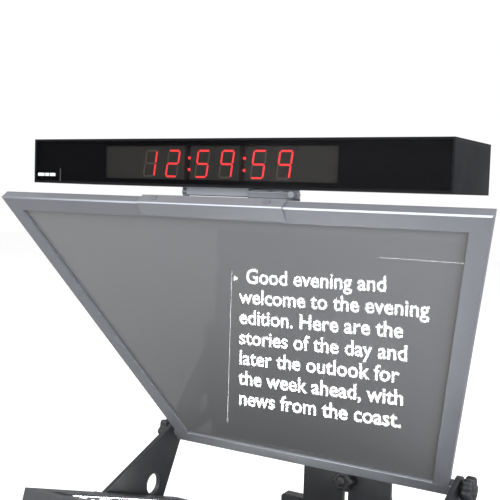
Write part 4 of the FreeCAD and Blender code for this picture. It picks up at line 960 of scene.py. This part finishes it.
# Name, place, what it points at, width and height, watts, colour.
LIGHTS = (
    ("key", (-1.3, -1.6, 1.9), (0, 0, 0.25), (1.4, 1.0), 34, (1, 1, 1)),
    ("fill", (1.2, -0.7, 0.66), (0.1, -0.1, 0.40), (0.8, 0.5), 13, COOL),
    ("kicker", (0.85, -1.0, 0.12), (0.25, -0.2, 0.4), (0.5, 0.5), 0.5, COLD),
    ("sheen", (-0.5, -1.9, 0.55), (0, 0, 0.5), (0.9, 0.5), 4.0, (1, 1, 1)),
    ("front", (0.9, -2.1, 1.1), (0, 0, 0.35), (1.2, 0.8), 14, (1, 1, 1)),
    ("rear", (0.6, 1.9, 1.5), (0, 0, 0.25), (1.6, 1.0), 18, (1, 1, 1)),
)


def make_floor():
    """White paper under the feet, lit a little where the camera sees it."""
    h, z = FLOOR_HALF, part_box("rubber_feet")[0].z
    mesh = bpy.data.meshes.new("floor")
    mesh.from_pydata([(-h, -h, z), (h, -h, z), (h, h, z), (-h, h, z)], [], [(0, 1, 2, 3)])
    floor = bpy.data.objects.new("floor", mesh)
    bpy.context.scene.collection.objects.link(floor)
    g = Graph("floor_paper", Roughness=0.9, Specular_IOR_Level=0.1)
    seen = g.node("LightPath").outputs["Is Camera Ray"]
    paper = g.blend(g.noise(3.0, 3.0), (0.86, 0.86, 0.865), (0.90, 0.90, 0.90))
    g.link(g.blend(seen, (0.60, 0.60, 0.61), paper), g.bsdf.inputs["Base Color"])
    g.bsdf.inputs["Emission Color"].default_value = (1, 1, 1, 1)
    g.link(g.math("MULTIPLY", seen, 0.42), g.bsdf.inputs["Emission Strength"])
    mesh.materials.append(g.mat)


def area_light(name, at, aim, size, power, colour):
    data = bpy.data.lights.new(name, "AREA")
    data.shape, data.energy, data.color = "RECTANGLE", power, colour
    data.size, data.size_y = size
    lamp = bpy.data.objects.new(name, data)
    lamp.location = at
    lamp.rotation_euler = (Vector(aim) - Vector(at)).to_track_quat("-Z", "Y").to_euler()
    bpy.context.scene.collection.objects.link(lamp)


def make_light():
    """A white studio: an even world and the area lights."""
    world = bpy.data.worlds.new("studio")
    bpy.context.scene.world = world
    world.use_nodes = True
    tree = world.node_tree
    back, path = tree.nodes["Background"], tree.nodes.new("ShaderNodeLightPath")
    seen = tree.nodes.new("ShaderNodeMapRange")
    seen.inputs["To Min"].default_value = WORLD_LIGHT
    seen.inputs["To Max"].default_value = WORLD_SEEN
    tree.links.new(path.outputs["Is Camera Ray"], seen.inputs["Value"])
    tree.links.new(seen.outputs["Result"], back.inputs["Strength"])
    back.inputs["Color"].default_value = (1, 1, 1, 1)
    for light in LIGHTS:
        area_light(*light)
    bpy.context.scene.view_settings.view_transform = "Standard"


# ---- camera --------------------------------------------------------------------------------------
CAMERA_FROM_CLOCK = Vector((0.4283, -0.6537, -0.0048))
CAMERA_YAW, CAMERA_DIP, CAMERA_ROLL = (math.radians(a) for a in (30.73, 3.69, -1.79))
CAMERA_LENS, CAMERA_FILM = 62.73, 36.0


def make_camera():
    data = bpy.data.cameras.new("camera")
    data.lens, data.sensor_width = CAMERA_LENS, CAMERA_FILM
    camera = bpy.data.objects.new("camera", data)
    bpy.context.scene.collection.objects.link(camera)
    yaw, dip, roll = CAMERA_YAW, CAMERA_DIP, CAMERA_ROLL
    ahead = Vector((-math.sin(yaw) * math.cos(dip), math.cos(yaw) * math.cos(dip), -math.sin(dip)))
    level = Vector((math.cos(yaw), math.sin(yaw), 0))
    below = ahead.cross(level)
    right = level * math.cos(roll) + below * math.sin(roll)
    down = below * math.cos(roll) - level * math.sin(roll)
    turn = Matrix((right, -down, -ahead)).transposed().to_4x4()
    camera.matrix_world = Matrix.Translation(CLOCK_FRONT + CAMERA_FROM_CLOCK) @ turn
    bpy.context.scene.camera = camera


# ---- everything ----------------------------------------------------------------------------------
make_camera()
make_light()
make_floor()
dress_cad_nodes()
make_knobs()
make_camera_screw()
make_unlit_segments()
make_badge()
make_script_text()
make_screen()
fabric_hood, hood_seams, hood_area = make_hood()
hood_trim = make_hood_trim(hood_seams)
lens_sleeve, sleeve_trim = make_lens_collar()
